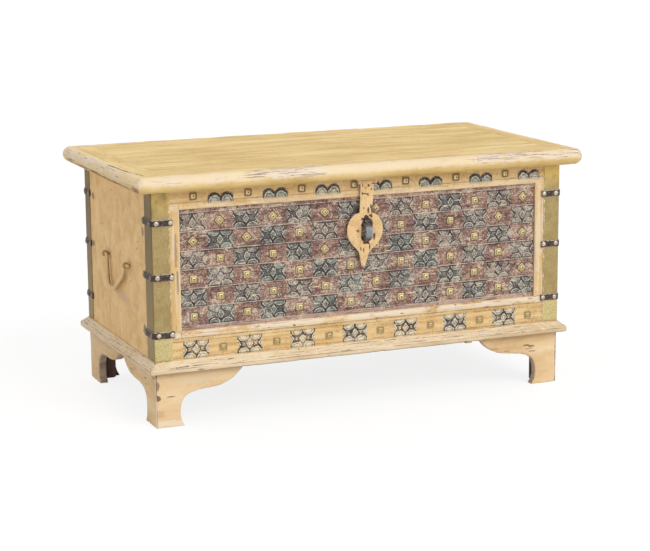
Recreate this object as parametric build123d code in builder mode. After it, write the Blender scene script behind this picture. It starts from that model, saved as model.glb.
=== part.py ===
"""A low wooden dowry chest on bracket feet, with a carved and studded front.

Frame: millimetres, +Z up, +X to the right seen from the front, the front facing -Y.
The origin is on the floor, under the middle of the case.
"""

import os

from build123d import *

os.makedirs("parts", exist_ok=True)

# ---------------------------------------------------------------- driving dimensions
# Case
case_width = 1000  # outside of the left side board to outside of the right one
case_depth = 512  # front of the frame to the back of the back boards
foot_height = 124  # floor to the lower edge of the case
case_height = 402  # lower edge of the case to its rim
wall_thickness = 22  # side and back boards
fit_gap = 0.2  # clearance all round a tongue, tenon or housed board

# Front frame and its panel
frame_thickness = 24
top_rail_height = 43
bottom_rail_height = 89
stile_width = 62.5
tenon_thickness = 8
tenon_length = 22
tenon_shoulder = 12
panel_recess = 5  # face of the frame to the ground of the panel
panel_thickness = 14
tongue_thickness = 6
tongue_depth = 8
top_lip_height = 14
top_lip_projection = 2
sill_bead_height = 14
sill_bead_projection = 4
lip_round = 1.5
sill_bead_round = 3

# Carving, studs and square nails on the front
panel_columns = 14
panel_rows = 6
panel_margin = 9  # above the first row of cells and below the last one
row_gap = 6  # between the carved blocks of two rows
rail_places = 14  # carved blocks and square nails along each rail, one after the other
rail_start_inset = 32.5  # edge of the opening to the first place
rail_end_inset = 17  # last place to the other edge of the opening
bottom_row_rise = 47  # lower edge of the case to the middle of the row
top_row_drop = 15  # rim to the middle of the row of nails
top_carving_rise = 0.5  # top lip to the foot of the petals above it
diamond_half_width = 8
diamond_half_height = 11
petal_half_width = 11
petal_height = 11
petal_spread = 15  # middle of a carved block to the middle of a petal
carving_relief = 1.5
stud_width = 16
stud_plate = 1.2
stud_height = 4.4
stud_taper_angle = 56
diamond_stud_rows = 1  # rows, from the top, whose studs stand on a corner
nail_shank_radius = 1.5
nail_shank_length = 9
rail_nail_width = 15
rail_nail_plate = 2
rail_nail_boss = 8
rail_nail_height = 2.5
rail_nail_taper_angle = 40

# Back boards, floor and its supports
back_seam_rise = 201  # lower edge of the case to the seam
back_tongue_depth = 7
floor_thickness = 16
floor_boards = 3
cleat_width = 20
cleat_height = 16
batten_width = 60

# Base moulding
moulding_height = 27
moulding_projection = 19
moulding_nose_height = 12
moulding_nose_round = 7
moulding_toe_round = 4

# Bracket feet: toe and ankle are measured along the face from the corner, knee and shoulder from
# the ankle, and the curve of the wing from its end
bracket_thickness = 20
ankle_height = 37
knee_height = 65
knee_reach = 11
shoulder_height = 77
shoulder_reach = 42
wing_curve = 37
wing_drop = 33.5  # lower edge of the case to the start of the wing's curve
wing_tip_inset = 13
wing_tip_drop = 16
front_toe = 67
front_ankle = 56.5
front_bracket_length = 207
side_toe = 80
side_ankle = 67
side_wing_gap = 16  # between the two wings under each side
foot_block_width = 30
foot_block_chamfer = 8
foot_block_lift = 4  # the blocks stop short of the floor

# Brass corner cladding, iron straps and their nails
brass_thickness = 1.2
brass_short_leg = 40
brass_long_leg = 48
brass_top_gap = 2
strap_thickness = 2.5
strap_height = 16
strap_short_leg = 46
strap_long_leg = 56
strap_rises = (85, 213, 333)  # lower edge of the case to the middle of each strap
dome_radius = 6.5
dome_cut_angle = 30  # latitude at which a ball is cut off to leave the dome
dome_corner_inset = 9
dome_end_inset = 5
tack_radius = 3
tack_inset = 21

# Lid
lid_overhang_ends = 47
lid_overhang_front = 43
lid_thickness = 36
lid_corner_radius = 26  # corners of the lid seen from above
lid_gap = 0.4  # rim to the underside of the shut lid
nosing_width = 66
nosing_ledge = 12
nose_flat = 0.05  # half of the narrow flat left along the round nose
lid_board_thickness = 22
lid_boards = 3
lid_batten_width = 60
lid_batten_spacing = 480

# Lid hinges
hinge_spacing = 600
hinge_width = 72
hinge_leaf_thickness = 2.5
hinge_leaf_height = 52
hinge_lid_leaf_depth = 18
hinge_knuckle_radius = 5
hinge_pin_radius = 2.5
hinge_side_gap = 0.6
running_gap = 0.05
swing_gap = 0.5  # knuckle or loop to the face that it turns beside
hinge_pin_overrun = 2
screw_head_radius = 4.2
hinge_screw_spacing = 46
hinge_case_screw_drop = 35
hinge_lid_screw_reach = 11.5

# Hasp, its bracket under the lid, and the staple on the front
hasp_middle = 4  # its bracket stands this far right of the middle
hasp_lean_angle = 3.2  # the hammered blade leans to the left as it hangs
hasp_thickness = 4
hasp_clearance = 7  # face of the frame to the back of the blade
hasp_loop_radius = 5.5
hasp_pin_radius = 2.5
hasp_top_width = 33
hasp_neck_width = 30
hasp_neck_drop = 80
hasp_disc_radius = 44
hasp_disc_drop = 110  # pin to the middle of the disc
hasp_cheek_width = 62
hasp_cheek_drop = 142
hasp_tail_width = 21
hasp_tail_drop = 166
hasp_tip_width = 11
hasp_tip_drop = 186
hasp_point_drop = 195
hasp_slot_length = 64
hasp_slot_width = 27
hasp_slot_offset = 4.5  # the slot is cut right of the middle of the blade
hasp_bracket_thickness = 3
hasp_bracket_width = 62
hasp_bracket_depth = 22
hasp_bracket_setback = 2  # face of the frame to the back of the bracket
hasp_lug_thickness = 4
hasp_side_gap = 1
hasp_screw_spacing = 52
hasp_pin_overrun = 1.5
staple_middle = 1
staple_drop = 122  # rim to the middle of the staple
staple_width = 15
staple_thickness = 5
staple_height = 34
staple_reach = 28  # face of the frame to the outside of the loop
staple_tail = 12  # how far its legs pass the back of the panel
staple_bend = 9

# Bail handles on the side boards
handle_middle = -8  # forward of the middle of the side
handle_rise = 213  # lower edge of the case to the pivots of the bail
bail_radius = 4
bail_standoff = 9  # side board to the axis of the bail
bail_eye_spacing = 161
bail_end_overrun = 9.5
bail_shoulder_inset = 11.5
bail_drop = 73
bail_knee_inset = 30.5  # the front arm bends here, and then runs slanting down to the foot
bail_knee_drop = 29
bail_foot_start = 100.5  # front eye to the start of the foot
bail_foot_end = 148.5  # front eye to the end of the foot, under the rear arm
bail_shoulder_radius = 7
bail_knee_radius = 20
bail_toe_radius = 42
bail_foot_radius = 23
eye_wall = 3.4
eye_width = 7
eye_shank_radius = 3
eye_shank_length = 18

# ---------------------------------------------------------------- places worked out from them
half_width = case_width / 2
half_depth = case_depth / 2
rim = foot_height + case_height
frame_front = -half_depth
frame_back = frame_front + frame_thickness
inner_half_width = half_width - wall_thickness
inner_back = half_depth - wall_thickness
opening_half = half_width - stile_width
opening_low = foot_height + bottom_rail_height
opening_high = rim - top_rail_height
panel_face = frame_front + panel_recess
joint_y = panel_face + panel_thickness / 2  # tongues and tenons share this plane
floor_low = foot_height + cleat_height
rail_first = -opening_half + rail_start_inset
rail_pitch = (2 * opening_half - rail_start_inset - rail_end_inset) / (rail_places - 1)
column_pitch = 2 * opening_half / panel_columns
row_pitch = (opening_high - opening_low - 2 * panel_margin) / panel_rows
block_half_height = (row_pitch - row_gap) / 2
side_bracket_length = half_depth - side_wing_gap / 2
back_seam = foot_height + back_seam_rise
bottom_row = foot_height + bottom_row_rise
top_row = rim - top_row_drop
top_carving_row = opening_high + top_lip_height + top_carving_rise + block_half_height
strap_levels = [foot_height + rise for rise in strap_rises]
handle_level = foot_height + handle_rise
staple_level = rim - staple_drop
lid_low = rim + lid_gap
lid_top = lid_low + lid_thickness
frame_plane = Plane.XZ.offset(-frame_front)
panel_plane = Plane.XZ.offset(-panel_face)
up = Vector(0, 0, 1)
corners = (
    (-1, -1, "front_left"),
    (1, -1, "front_right"),
    (-1, 1, "back_left"),
    (1, 1, "back_right"),
)


# ---------------------------------------------------------------- shared helpers
def save(piece, name):
    """Label a finished piece and write it to its own file."""
    piece.part.label = name
    export_step(piece.part, f"parts/{name}.step")


def block(corner, opposite, mode=Mode.ADD):
    """Add or cut a square block between two opposite corners, given in any order."""
    start, end = Vector(*corner), Vector(*opposite)
    size = end - start
    with Locations((start + end) / 2):
        Box(abs(size.X), abs(size.Y), abs(size.Z), mode=mode)


def board(name, corner, opposite):
    """Make a plain square-cut board between two opposite corners."""
    with BuildPart() as piece:
        block(corner, opposite)
    save(piece, name)


def domes(places, radius):
    """Add a low dome that stands on each of the planes in places."""
    with Locations(*places):
        Sphere(radius, arc_size1=dome_cut_angle, align=(Align.CENTER, Align.CENTER, Align.MIN))


def rod(start, end, radius, mode=Mode.ADD):
    """Add or cut a round bar between two points."""
    along = Vector(*end) - Vector(*start)
    with BuildSketch(Plane(origin=start, z_dir=along)) as section:
        Circle(radius)
    extrude(section.sketch, amount=along.length, mode=mode)


def mitred_strip(name, outward, face, run, base, section, form=None):
    """Run a section along one face of a rectangle and mitre both of its ends.

    outward is the face's normal; face and run are the distances from the middle to this face and
    to the two beside it; the section is drawn outward from the face and up from base. What lies
    outside form, if one is given, is planed off.
    """
    along = outward.cross(up)
    reach = section.sketch.bounding_box().max.X
    with BuildPart() as piece:
        with BuildSketch(Plane(origin=outward * face + up * base, x_dir=outward, z_dir=along)):
            add(section.sketch)
        extrude(amount=run + 2 * reach, both=True)
        for end in (1, -1):
            corner = outward * face + along * (end * run)
            split(bisect_by=Plane(origin=corner, z_dir=along * end - outward), keep=Keep.BOTTOM)
        if form:
            add(form.part, mode=Mode.INTERSECT)
    save(piece, name)


def around(half_x, half_y):
    """The four faces of a rectangle: name, normal, distance to it and to the faces beside it."""
    return (
        ("front", Vector(0, -1, 0), half_y, half_x),
        ("back", Vector(0, 1, 0), half_y, half_x),
        ("left", Vector(-1, 0, 0), half_x, half_y),
        ("right", Vector(1, 0, 0), half_x, half_y),
    )


# ---------------------------------------------------------------- carving and nail places
with BuildSketch() as petal:
    with BuildLine():
        Line((-petal_half_width, 0), (petal_half_width, 0))
        ThreePointArc((petal_half_width, 0), (0, petal_height), (-petal_half_width, 0))
    make_face()

with BuildSketch() as diamond:
    with BuildLine():
        Polyline(
            (0, diamond_half_height),
            (-diamond_half_width, 0),
            (0, -diamond_half_height),
            (diamond_half_width, 0),
            close=True,
        )
    make_face()


def petals(centres, rise):
    """Draw two petals per carved block: rising from its foot, or hanging from its head."""
    turn = 0 if rise > 0 else 180
    places = [
        Location((x + side * petal_spread, z - rise * block_half_height), turn)
        for x, z in centres
        for side in (-1, 1)
    ]
    with Locations(*places):
        add(petal.sketch)


def carve_blocks(plane, centres, hanging=True):
    """Raise the carved blocks on a face: petals, and a diamond between them."""
    with BuildSketch(plane) as carving:
        petals(centres, 1)
        if hanging:
            petals(centres, -1)
            with Locations(*centres):
                add(diamond.sketch)
    extrude(carving.sketch, amount=carving_relief)


def discs(plane, centres, radius, depth, mode=Mode.ADD):
    """Add or cut a round peg into a face at each centre."""
    with BuildSketch(plane) as pegs:
        with Locations(*centres):
            Circle(radius)
    extrude(pegs.sketch, amount=-depth, mode=mode)


def square_heads(plane, centres, width, height, taper=0, angle=0):
    """Add a square nail head, straight or tapered, at each centre."""
    with BuildSketch(plane) as heads:
        with Locations(*centres):
            Rectangle(width, width, rotation=angle)
    extrude(heads.sketch, amount=height, taper=taper)


opening_middle = (opening_low + opening_high) / 2
carved_cells = []
stud_cells = {"on a corner": [], "square": []}
for row in range(panel_rows):
    row_z = opening_middle + ((panel_rows - 1) / 2 - row) * row_pitch
    for column in range(panel_columns):
        cell = ((column - (panel_columns - 1) / 2) * column_pitch, row_z)
        if (column + row) % 2 == 0:
            carved_cells.append(cell)
        elif row < diamond_stud_rows:
            stud_cells["on a corner"].append(cell)
        else:
            stud_cells["square"].append(cell)

rail_xs = [rail_first + place * rail_pitch for place in range(rail_places)]
top_nails = [(x, top_row) for x in rail_xs[0::2]]
top_carvings = [(x, top_carving_row) for x in rail_xs[1::2]]
bottom_carvings = [(x, bottom_row) for x in rail_xs[0::2]]
bottom_nails = [(x, bottom_row) for x in rail_xs[1::2]]

# ---------------------------------------------------------------- front frame
groove_reach = tongue_depth + fit_gap
groove_half = tongue_thickness / 2 + fit_gap
tenon_half = stile_width / 2 - tenon_shoulder
stile_middle = half_width - stile_width / 2


def rail_housings(edge):
    """Cut the panel groove and the two mortises into the inner edge of a rail."""
    block(
        (-opening_half - groove_reach, joint_y - groove_half, edge - groove_reach),
        (opening_half + groove_reach, joint_y + groove_half, edge + groove_reach),
        mode=Mode.SUBTRACT,
    )
    mortise = Vector(tenon_half + fit_gap, tenon_thickness / 2 + fit_gap, tenon_length + fit_gap)
    for side in (-1, 1):
        middle = Vector(side * stile_middle, joint_y, edge)
        block(middle - mortise, middle + mortise, mode=Mode.SUBTRACT)


with BuildPart() as front_top_rail:
    block((-half_width, frame_front, opening_high), (half_width, frame_back, rim))
    block(
        (-opening_half, frame_front - top_lip_projection, opening_high),
        (opening_half, frame_front, opening_high + top_lip_height),
    )
    fillet(front_top_rail.edges().filter_by(Axis.X).group_by(Axis.Y)[0], lip_round)
    carve_blocks(frame_plane, top_carvings, hanging=False)
    discs(frame_plane, top_nails, nail_shank_radius, nail_shank_length, mode=Mode.SUBTRACT)
    rail_housings(opening_high)
save(front_top_rail, "front_top_rail")

with BuildPart() as front_bottom_rail:
    block((-half_width, frame_front, foot_height), (half_width, frame_back, opening_low))
    block(
        (-opening_half, frame_front - sill_bead_projection, opening_low - sill_bead_height),
        (opening_half, frame_front, opening_low),
    )
    fillet(front_bottom_rail.edges().filter_by(Axis.X).group_by(Axis.Y)[0], sill_bead_round)
    carve_blocks(frame_plane, bottom_carvings)
    discs(frame_plane, bottom_nails, nail_shank_radius, nail_shank_length, mode=Mode.SUBTRACT)
    rail_housings(opening_low)
save(front_bottom_rail, "front_bottom_rail")

for side, name in ((-1, "front_left_stile"), (1, "front_right_stile")):
    tenon_middle = side * stile_middle
    inner_edge = side * opening_half
    with BuildPart() as stile:
        block((inner_edge, frame_front, opening_low), (side * half_width, frame_back, opening_high))
        block(
            (tenon_middle - tenon_half, joint_y - tenon_thickness / 2, opening_low - tenon_length),
            (tenon_middle + tenon_half, joint_y + tenon_thickness / 2, opening_high + tenon_length),
        )
        block(
            (inner_edge - groove_reach, joint_y - groove_half, opening_low),
            (inner_edge + groove_reach, joint_y + groove_half, opening_high),
            mode=Mode.SUBTRACT,
        )
    save(stile, name)

leg_spread = (staple_height - staple_thickness) / 2

with BuildPart() as front_carved_panel:
    block(
        (-opening_half + fit_gap, panel_face, opening_low + fit_gap),
        (opening_half - fit_gap, panel_face + panel_thickness, opening_high - fit_gap),
    )
    block(
        (-opening_half - tongue_depth, joint_y - tongue_thickness / 2, opening_low - tongue_depth),
        (opening_half + tongue_depth, joint_y + tongue_thickness / 2, opening_high + tongue_depth),
    )
    carve_blocks(panel_plane, carved_cells)
    for cells in stud_cells.values():
        discs(panel_plane, cells, nail_shank_radius, nail_shank_length, mode=Mode.SUBTRACT)
    for leg in (-1, 1):
        leg_low = staple_level + leg * leg_spread - staple_thickness / 2
        block(
            (staple_middle - staple_width / 2, panel_face - carving_relief, leg_low),
            (staple_middle + staple_width / 2, panel_face + panel_thickness, leg_low + staple_thickness),
            mode=Mode.SUBTRACT,
        )
save(front_carved_panel, "front_carved_panel")

point_plane = panel_plane.offset(stud_plate)
with BuildPart() as panel_studs:
    for cells, angle in ((stud_cells["on a corner"], 45), (stud_cells["square"], 0)):
        square_heads(panel_plane, cells, stud_width, stud_plate, angle=angle)
        square_heads(point_plane, cells, stud_width, stud_height, stud_taper_angle, angle)
        discs(panel_plane, cells, nail_shank_radius, nail_shank_length)
save(panel_studs, "panel_studs")

with BuildPart() as rail_square_nails:
    nails = top_nails + bottom_nails
    boss_plane = frame_plane.offset(rail_nail_plate)
    square_heads(frame_plane, nails, rail_nail_width, rail_nail_plate)
    square_heads(boss_plane, nails, rail_nail_boss, rail_nail_height, rail_nail_taper_angle)
    discs(frame_plane, nails, nail_shank_radius, nail_shank_length)
save(rail_square_nails, "rail_square_nails")

# ---------------------------------------------------------------- side and back boards
eye_ys = [handle_middle - bail_eye_spacing / 2, handle_middle + bail_eye_spacing / 2]

for side, name in ((-1, "left_side_board"), (1, "right_side_board")):
    with BuildPart() as side_board:
        block((side * half_width, frame_back, foot_height), (side * inner_half_width, inner_back, rim))
        for y in eye_ys:
            rod(
                (side * half_width, y, handle_level),
                (side * (half_width - eye_shank_length), y, handle_level),
                eye_shank_radius,
                mode=Mode.SUBTRACT,
            )
    save(side_board, name)

back_joint_y = half_depth - wall_thickness / 2

with BuildPart() as back_lower_board:
    block((-half_width, inner_back, foot_height), (half_width, half_depth, back_seam))
    block(
        (-half_width, back_joint_y - tongue_thickness / 2, back_seam),
        (half_width, back_joint_y + tongue_thickness / 2, back_seam + back_tongue_depth),
    )
save(back_lower_board, "back_lower_board")

with BuildPart() as back_upper_board:
    block((-half_width, inner_back, back_seam), (half_width, half_depth, rim))
    block(
        (-half_width, back_joint_y - groove_half, back_seam),
        (half_width, back_joint_y + groove_half, back_seam + back_tongue_depth + fit_gap),
        mode=Mode.SUBTRACT,
    )
save(back_upper_board, "back_upper_board")

# ---------------------------------------------------------------- floor
floor_pitch = (inner_back - frame_back) / floor_boards
for index in range(floor_boards):
    front_edge = frame_back + index * floor_pitch
    board(
        f"floor_board_{index + 1}",
        (-inner_half_width + fit_gap, front_edge + fit_gap, floor_low),
        (inner_half_width - fit_gap, front_edge + floor_pitch - fit_gap, floor_low + floor_thickness),
    )

with BuildPart() as floor_cleats:
    for side in (-1, 1):
        wall = side * inner_half_width
        block((wall, frame_back, foot_height), (wall - side * cleat_width, inner_back, floor_low))
save(floor_cleats, "floor_cleats")

board(
    "floor_batten",
    (-batten_width / 2, frame_back, foot_height),
    (batten_width / 2, inner_back, floor_low),
)

# ---------------------------------------------------------------- base moulding
with BuildSketch() as moulding_section:
    with BuildLine():
        Polyline(
            (0, 0),
            (moulding_projection, 0),
            (moulding_projection, moulding_nose_height),
            (0, moulding_height),
            close=True,
        )
    make_face()
    fillet(moulding_section.vertices().group_by(Axis.X)[-1].sort_by(Axis.Y)[-1], moulding_nose_round)
    fillet(moulding_section.vertices().group_by(Axis.Y)[0].sort_by(Axis.X)[-1], moulding_toe_round)

for name, outward, face, run in around(half_width, half_depth):
    mitred_strip(f"base_moulding_{name}", outward, face, run, foot_height, moulding_section)


# ---------------------------------------------------------------- bracket feet
def bracket_outline(toe_width, ankle_width, length):
    """One bracket: a flared foot, a waisted ankle, a shoulder and a wing that sweeps up to the case."""
    with BuildLine() as outline:
        Polyline((length, foot_height), (0, foot_height), (0, 0), (toe_width, 0))
        Spline(
            (toe_width, 0),
            (ankle_width, ankle_height),
            (ankle_width + knee_reach, knee_height),
            (ankle_width + shoulder_reach, shoulder_height),
            (length - wing_curve, foot_height - wing_drop),
            (length - wing_tip_inset, foot_height - wing_tip_drop),
            (length, foot_height),
        )
    make_face(outline.edges())


for side_x, side_y, corner_name in corners:
    corner = Vector(side_x * half_width, side_y * half_depth, 0)
    across, sideways = Vector(-side_x, 0, 0), Vector(0, -side_y, 0)
    for leg_name, along, outward, shape in (
        ("face", across, -sideways, (front_toe, front_ankle, front_bracket_length)),
        ("return", sideways, -across, (side_toe, side_ankle, side_bracket_length)),
    ):
        plane = Plane(origin=corner, x_dir=along, z_dir=along.cross(up))
        with BuildPart() as bracket:
            with BuildSketch(plane):
                bracket_outline(*shape)
            extrude(amount=-bracket_thickness * plane.z_dir.dot(outward))
            split(bisect_by=Plane(origin=corner, z_dir=along + outward), keep=Keep.TOP)
        save(bracket, f"foot_{corner_name}_{leg_name}")

with BuildPart() as foot_corner_blocks:
    with BuildSketch(Plane.XY.offset(foot_block_lift)):
        for side_x, side_y, corner_name in corners:
            near_x = side_x * (half_width - bracket_thickness)
            near_y = side_y * (half_depth - bracket_thickness)
            far_x = near_x - side_x * foot_block_width
            far_y = near_y - side_y * foot_block_width
            with BuildLine():
                Polyline(
                    (near_x, near_y),
                    (far_x, near_y),
                    (far_x, far_y + side_y * foot_block_chamfer),
                    (far_x + side_x * foot_block_chamfer, far_y),
                    (near_x, far_y),
                    close=True,
                )
            make_face()
    extrude(amount=foot_height - foot_block_lift)
save(foot_corner_blocks, "foot_corner_blocks")


# ---------------------------------------------------------------- corner brasses and straps
def leg_lengths(side_y, short_leg, long_leg):
    """Legs of a corner angle across the front or back, and along the side.

    The long leg lies on the side board at the front corners and on the back boards at the others.
    """
    return (short_leg, long_leg) if side_y < 0 else (long_leg, short_leg)


def corner_angle(side_x, side_y, lift, thickness, leg_x, leg_y):
    """Draw an L round one corner of the case, lift away from its faces."""
    inner_x, inner_y = half_width + lift, half_depth + lift
    outer_x, outer_y = inner_x + thickness, inner_y + thickness
    end_x, end_y = half_width - leg_x, half_depth - leg_y
    with BuildLine() as outline:
        Polyline(
            (side_x * outer_x, side_y * outer_y),
            (side_x * end_x, side_y * outer_y),
            (side_x * end_x, side_y * inner_y),
            (side_x * inner_x, side_y * inner_y),
            (side_x * inner_x, side_y * end_y),
            (side_x * outer_x, side_y * end_y),
            close=True,
        )
    make_face(outline.edges())


brass_low = foot_height + moulding_height
for side_x, side_y, corner_name in corners:
    brass_legs = leg_lengths(side_y, brass_short_leg, brass_long_leg)
    with BuildPart() as brass:
        with BuildSketch(Plane.XY.offset(brass_low)):
            corner_angle(side_x, side_y, 0, brass_thickness, *brass_legs)
        extrude(amount=rim - brass_top_gap - brass_low)
    save(brass, f"corner_brass_{corner_name}")

for side_y, end in ((-1, "front"), (1, "back")):
    strap_legs = leg_lengths(side_y, strap_short_leg, strap_long_leg)
    with BuildPart() as straps:
        for level in strap_levels:
            with BuildSketch(Plane.XY.offset(level - strap_height / 2)):
                for side_x in (-1, 1):
                    corner_angle(side_x, side_y, brass_thickness, strap_thickness, *strap_legs)
            extrude(amount=strap_height)
    save(straps, f"corner_straps_{end}")

strap_lift = brass_thickness + strap_thickness
dome_places = []
tack_places = []
for side_x, side_y, corner_name in corners:
    leg_x, leg_y = leg_lengths(side_y, strap_short_leg, strap_long_leg)
    for level in strap_levels:
        for places, inset_x, inset_y in (
            (dome_places, dome_corner_inset, dome_corner_inset),
            (dome_places, leg_x - dome_end_inset, leg_y - dome_end_inset),
            (tack_places, tack_inset, tack_inset),
        ):
            on_face = (side_x * (half_width - inset_x), side_y * (half_depth + strap_lift), level)
            on_side = (side_x * (half_width + strap_lift), side_y * (half_depth - inset_y), level)
            places.append(Plane(origin=on_face, z_dir=(0, side_y, 0)))
            places.append(Plane(origin=on_side, z_dir=(side_x, 0, 0)))

with BuildPart() as strap_dome_nails:
    domes(dome_places, dome_radius)
save(strap_dome_nails, "strap_dome_nails")

with BuildPart() as strap_tacks:
    domes(tack_places, tack_radius)
save(strap_tacks, "strap_tacks")

# ---------------------------------------------------------------- staple
staple_plane = Plane(origin=(staple_middle, 0, staple_level), x_dir=(0, -1, 0), z_dir=(-1, 0, 0))
staple_tip = -frame_front + staple_reach - staple_thickness / 2
staple_end = -panel_face - panel_thickness - staple_tail

with BuildPart() as staple:
    with BuildLine(staple_plane) as staple_path:
        FilletPolyline(
            (staple_end, -leg_spread),
            (staple_tip, -leg_spread),
            (staple_tip, leg_spread),
            (staple_end, leg_spread),
            radius=staple_bend,
        )
    with BuildSketch(Plane(origin=staple_path.line @ 0, x_dir=(1, 0, 0), z_dir=staple_path.line % 0)):
        Rectangle(staple_width, staple_thickness)
    sweep()
save(staple, "staple")

# ---------------------------------------------------------------- bail handles
for side, name in ((-1, "left"), (1, "right")):
    axis_x = side * (half_width + bail_standoff)
    eye_radius = bail_radius + running_gap + eye_wall
    with BuildPart() as eyes:
        for y in eye_ys:
            shank_end = (side * (half_width - eye_shank_length), y, handle_level)
            ring_ends = [(axis_x, y + end * eye_width / 2, handle_level) for end in (-1, 1)]
            rod((axis_x, y, handle_level), shank_end, eye_shank_radius)
            rod(*ring_ends, eye_radius)
            rod(*ring_ends, bail_radius + running_gap, mode=Mode.SUBTRACT)
    save(eyes, f"handle_{name}_eyes")

    half_spacing = bail_eye_spacing / 2
    bail_plane = Plane(origin=(axis_x, handle_middle, handle_level), x_dir=(0, 1, 0), z_dir=(1, 0, 0))
    with BuildPart() as bail:
        with BuildLine(bail_plane) as path:
            FilletPolyline(
                (-half_spacing - bail_end_overrun, 0),
                (-half_spacing + bail_shoulder_inset, 0),
                (-half_spacing + bail_knee_inset, -bail_knee_drop),
                (-half_spacing + bail_foot_start, -bail_drop),
                (-half_spacing + bail_foot_end, -bail_drop),
                (half_spacing - bail_shoulder_inset, 0),
                (half_spacing + bail_end_overrun, 0),
                radius=(
                    bail_shoulder_radius,
                    bail_knee_radius,
                    bail_toe_radius,
                    bail_foot_radius,
                    bail_shoulder_radius,
                ),
            )
        with BuildSketch(Plane(origin=path.line @ 0, z_dir=path.line % 0)):
            Circle(bail_radius)
        sweep()
    save(bail, f"handle_{name}_bail")

# ---------------------------------------------------------------- lid hinges, case side
hinge_y = half_depth + hinge_knuckle_radius + swing_gap
hinge_z = lid_low - hinge_knuckle_radius - swing_gap
hinge_xs = (-hinge_spacing / 2, hinge_spacing / 2)
knuckle_half = hinge_width / 6  # half of the middle knuckle
hinge_clear = hinge_knuckle_radius + hinge_side_gap

with BuildPart() as hinge_case_leaves:
    for x in hinge_xs:
        block(
            (x - hinge_width / 2, half_depth, hinge_z - hinge_leaf_height),
            (x + hinge_width / 2, half_depth + hinge_leaf_thickness, hinge_z - hinge_clear),
        )
        for side in (-1, 1):
            inner = x + side * (knuckle_half + hinge_side_gap)
            outer = x + side * hinge_width / 2
            block(
                (inner, half_depth, hinge_z - hinge_clear),
                (outer, half_depth + hinge_leaf_thickness, hinge_z),
            )
            rod((inner, hinge_y, hinge_z), (outer, hinge_y, hinge_z), hinge_knuckle_radius)
            rod((inner, hinge_y, hinge_z), (outer, hinge_y, hinge_z), hinge_pin_radius, mode=Mode.SUBTRACT)
save(hinge_case_leaves, "hinge_case_leaves")

with BuildPart() as hinge_pins:
    for x in hinge_xs:
        pin_half = hinge_width / 2 + hinge_pin_overrun
        rod((x - pin_half, hinge_y, hinge_z), (x + pin_half, hinge_y, hinge_z), hinge_pin_radius)
save(hinge_pins, "hinge_pins")

screw_xs = [x + side * hinge_screw_spacing / 2 for x in hinge_xs for side in (-1, 1)]
leaf_face = half_depth + hinge_leaf_thickness
with BuildPart() as hinge_case_screws:
    domes(
        [Plane(origin=(x, leaf_face, hinge_z - hinge_case_screw_drop), z_dir=(0, 1, 0)) for x in screw_xs],
        screw_head_radius,
    )
save(hinge_case_screws, "hinge_case_screws")

# ---------------------------------------------------------------- lid
joint_half_x = half_width + lid_overhang_ends - nosing_width
joint_half_y = half_depth + lid_overhang_front - nosing_width
ledge_height = lid_thickness - lid_board_thickness
nose_radius = lid_thickness / 2 - nose_flat

with BuildPart() as lid_form:
    with BuildSketch(Plane.XY.offset(lid_low)):
        RectangleRounded(
            2 * (joint_half_x + nosing_width),
            2 * (joint_half_y + nosing_width),
            max(lid_corner_radius, nose_radius + nose_flat),
        )
    extrude(amount=lid_thickness)
    fillet(lid_form.faces().filter_by(Axis.Z).edges(), nose_radius)

with BuildSketch() as nosing_section:
    with BuildLine():
        Polyline(
            (nosing_width, 0),
            (-nosing_ledge, 0),
            (-nosing_ledge, ledge_height),
            (0, ledge_height),
            (0, lid_thickness),
            (nosing_width, lid_thickness),
            close=True,
        )
    make_face()

for name, outward, face, run in around(joint_half_x, joint_half_y):
    mitred_strip(f"lid_nosing_{name}", outward, face, run, lid_low, nosing_section, lid_form)

lid_board_pitch = 2 * joint_half_y / lid_boards
for index in range(lid_boards):
    front_edge = -joint_half_y + index * lid_board_pitch
    board(
        f"lid_board_{index + 1}",
        (-joint_half_x + fit_gap, front_edge + fit_gap, lid_low + ledge_height),
        (joint_half_x - fit_gap, front_edge + lid_board_pitch - fit_gap, lid_top),
    )

with BuildPart() as lid_battens:
    batten_half = joint_half_y - nosing_ledge - fit_gap
    for side in (-1, 1):
        middle = side * lid_batten_spacing / 2
        block(
            (middle - lid_batten_width / 2, -batten_half, lid_low),
            (middle + lid_batten_width / 2, batten_half, lid_low + ledge_height),
        )
save(lid_battens, "lid_battens")

# ---------------------------------------------------------------- lid hinges, lid side
leaf_low = lid_low - hinge_leaf_thickness
leaf_back = hinge_y + hinge_lid_leaf_depth

with BuildPart() as hinge_lid_leaves:
    for x in hinge_xs:
        block(
            (x - hinge_width / 2, hinge_y + hinge_clear, leaf_low),
            (x + hinge_width / 2, leaf_back, lid_low),
        )
        block((x - knuckle_half, hinge_y, leaf_low), (x + knuckle_half, leaf_back, lid_low))
        knuckle = ((x - knuckle_half, hinge_y, hinge_z), (x + knuckle_half, hinge_y, hinge_z))
        rod(*knuckle, hinge_knuckle_radius)
        rod(*knuckle, hinge_pin_radius + running_gap, mode=Mode.SUBTRACT)
save(hinge_lid_leaves, "hinge_lid_leaves")

with BuildPart() as hinge_lid_screws:
    domes(
        [Plane(origin=(x, hinge_y + hinge_lid_screw_reach, leaf_low), z_dir=(0, 0, -1)) for x in screw_xs],
        screw_head_radius,
    )
save(hinge_lid_screws, "hinge_lid_screws")

# ---------------------------------------------------------------- hasp and its bracket
hasp_y = frame_front - hasp_clearance - hasp_thickness / 2
hasp_z = lid_low - hasp_bracket_thickness - hasp_loop_radius - swing_gap
bracket_low = lid_low - hasp_bracket_thickness
bracket_back = frame_front - hasp_bracket_setback
bracket_front = bracket_back - hasp_bracket_depth
lug_inner = hasp_top_width / 2 + hasp_side_gap
lug_outer = lug_inner + hasp_lug_thickness

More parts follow.
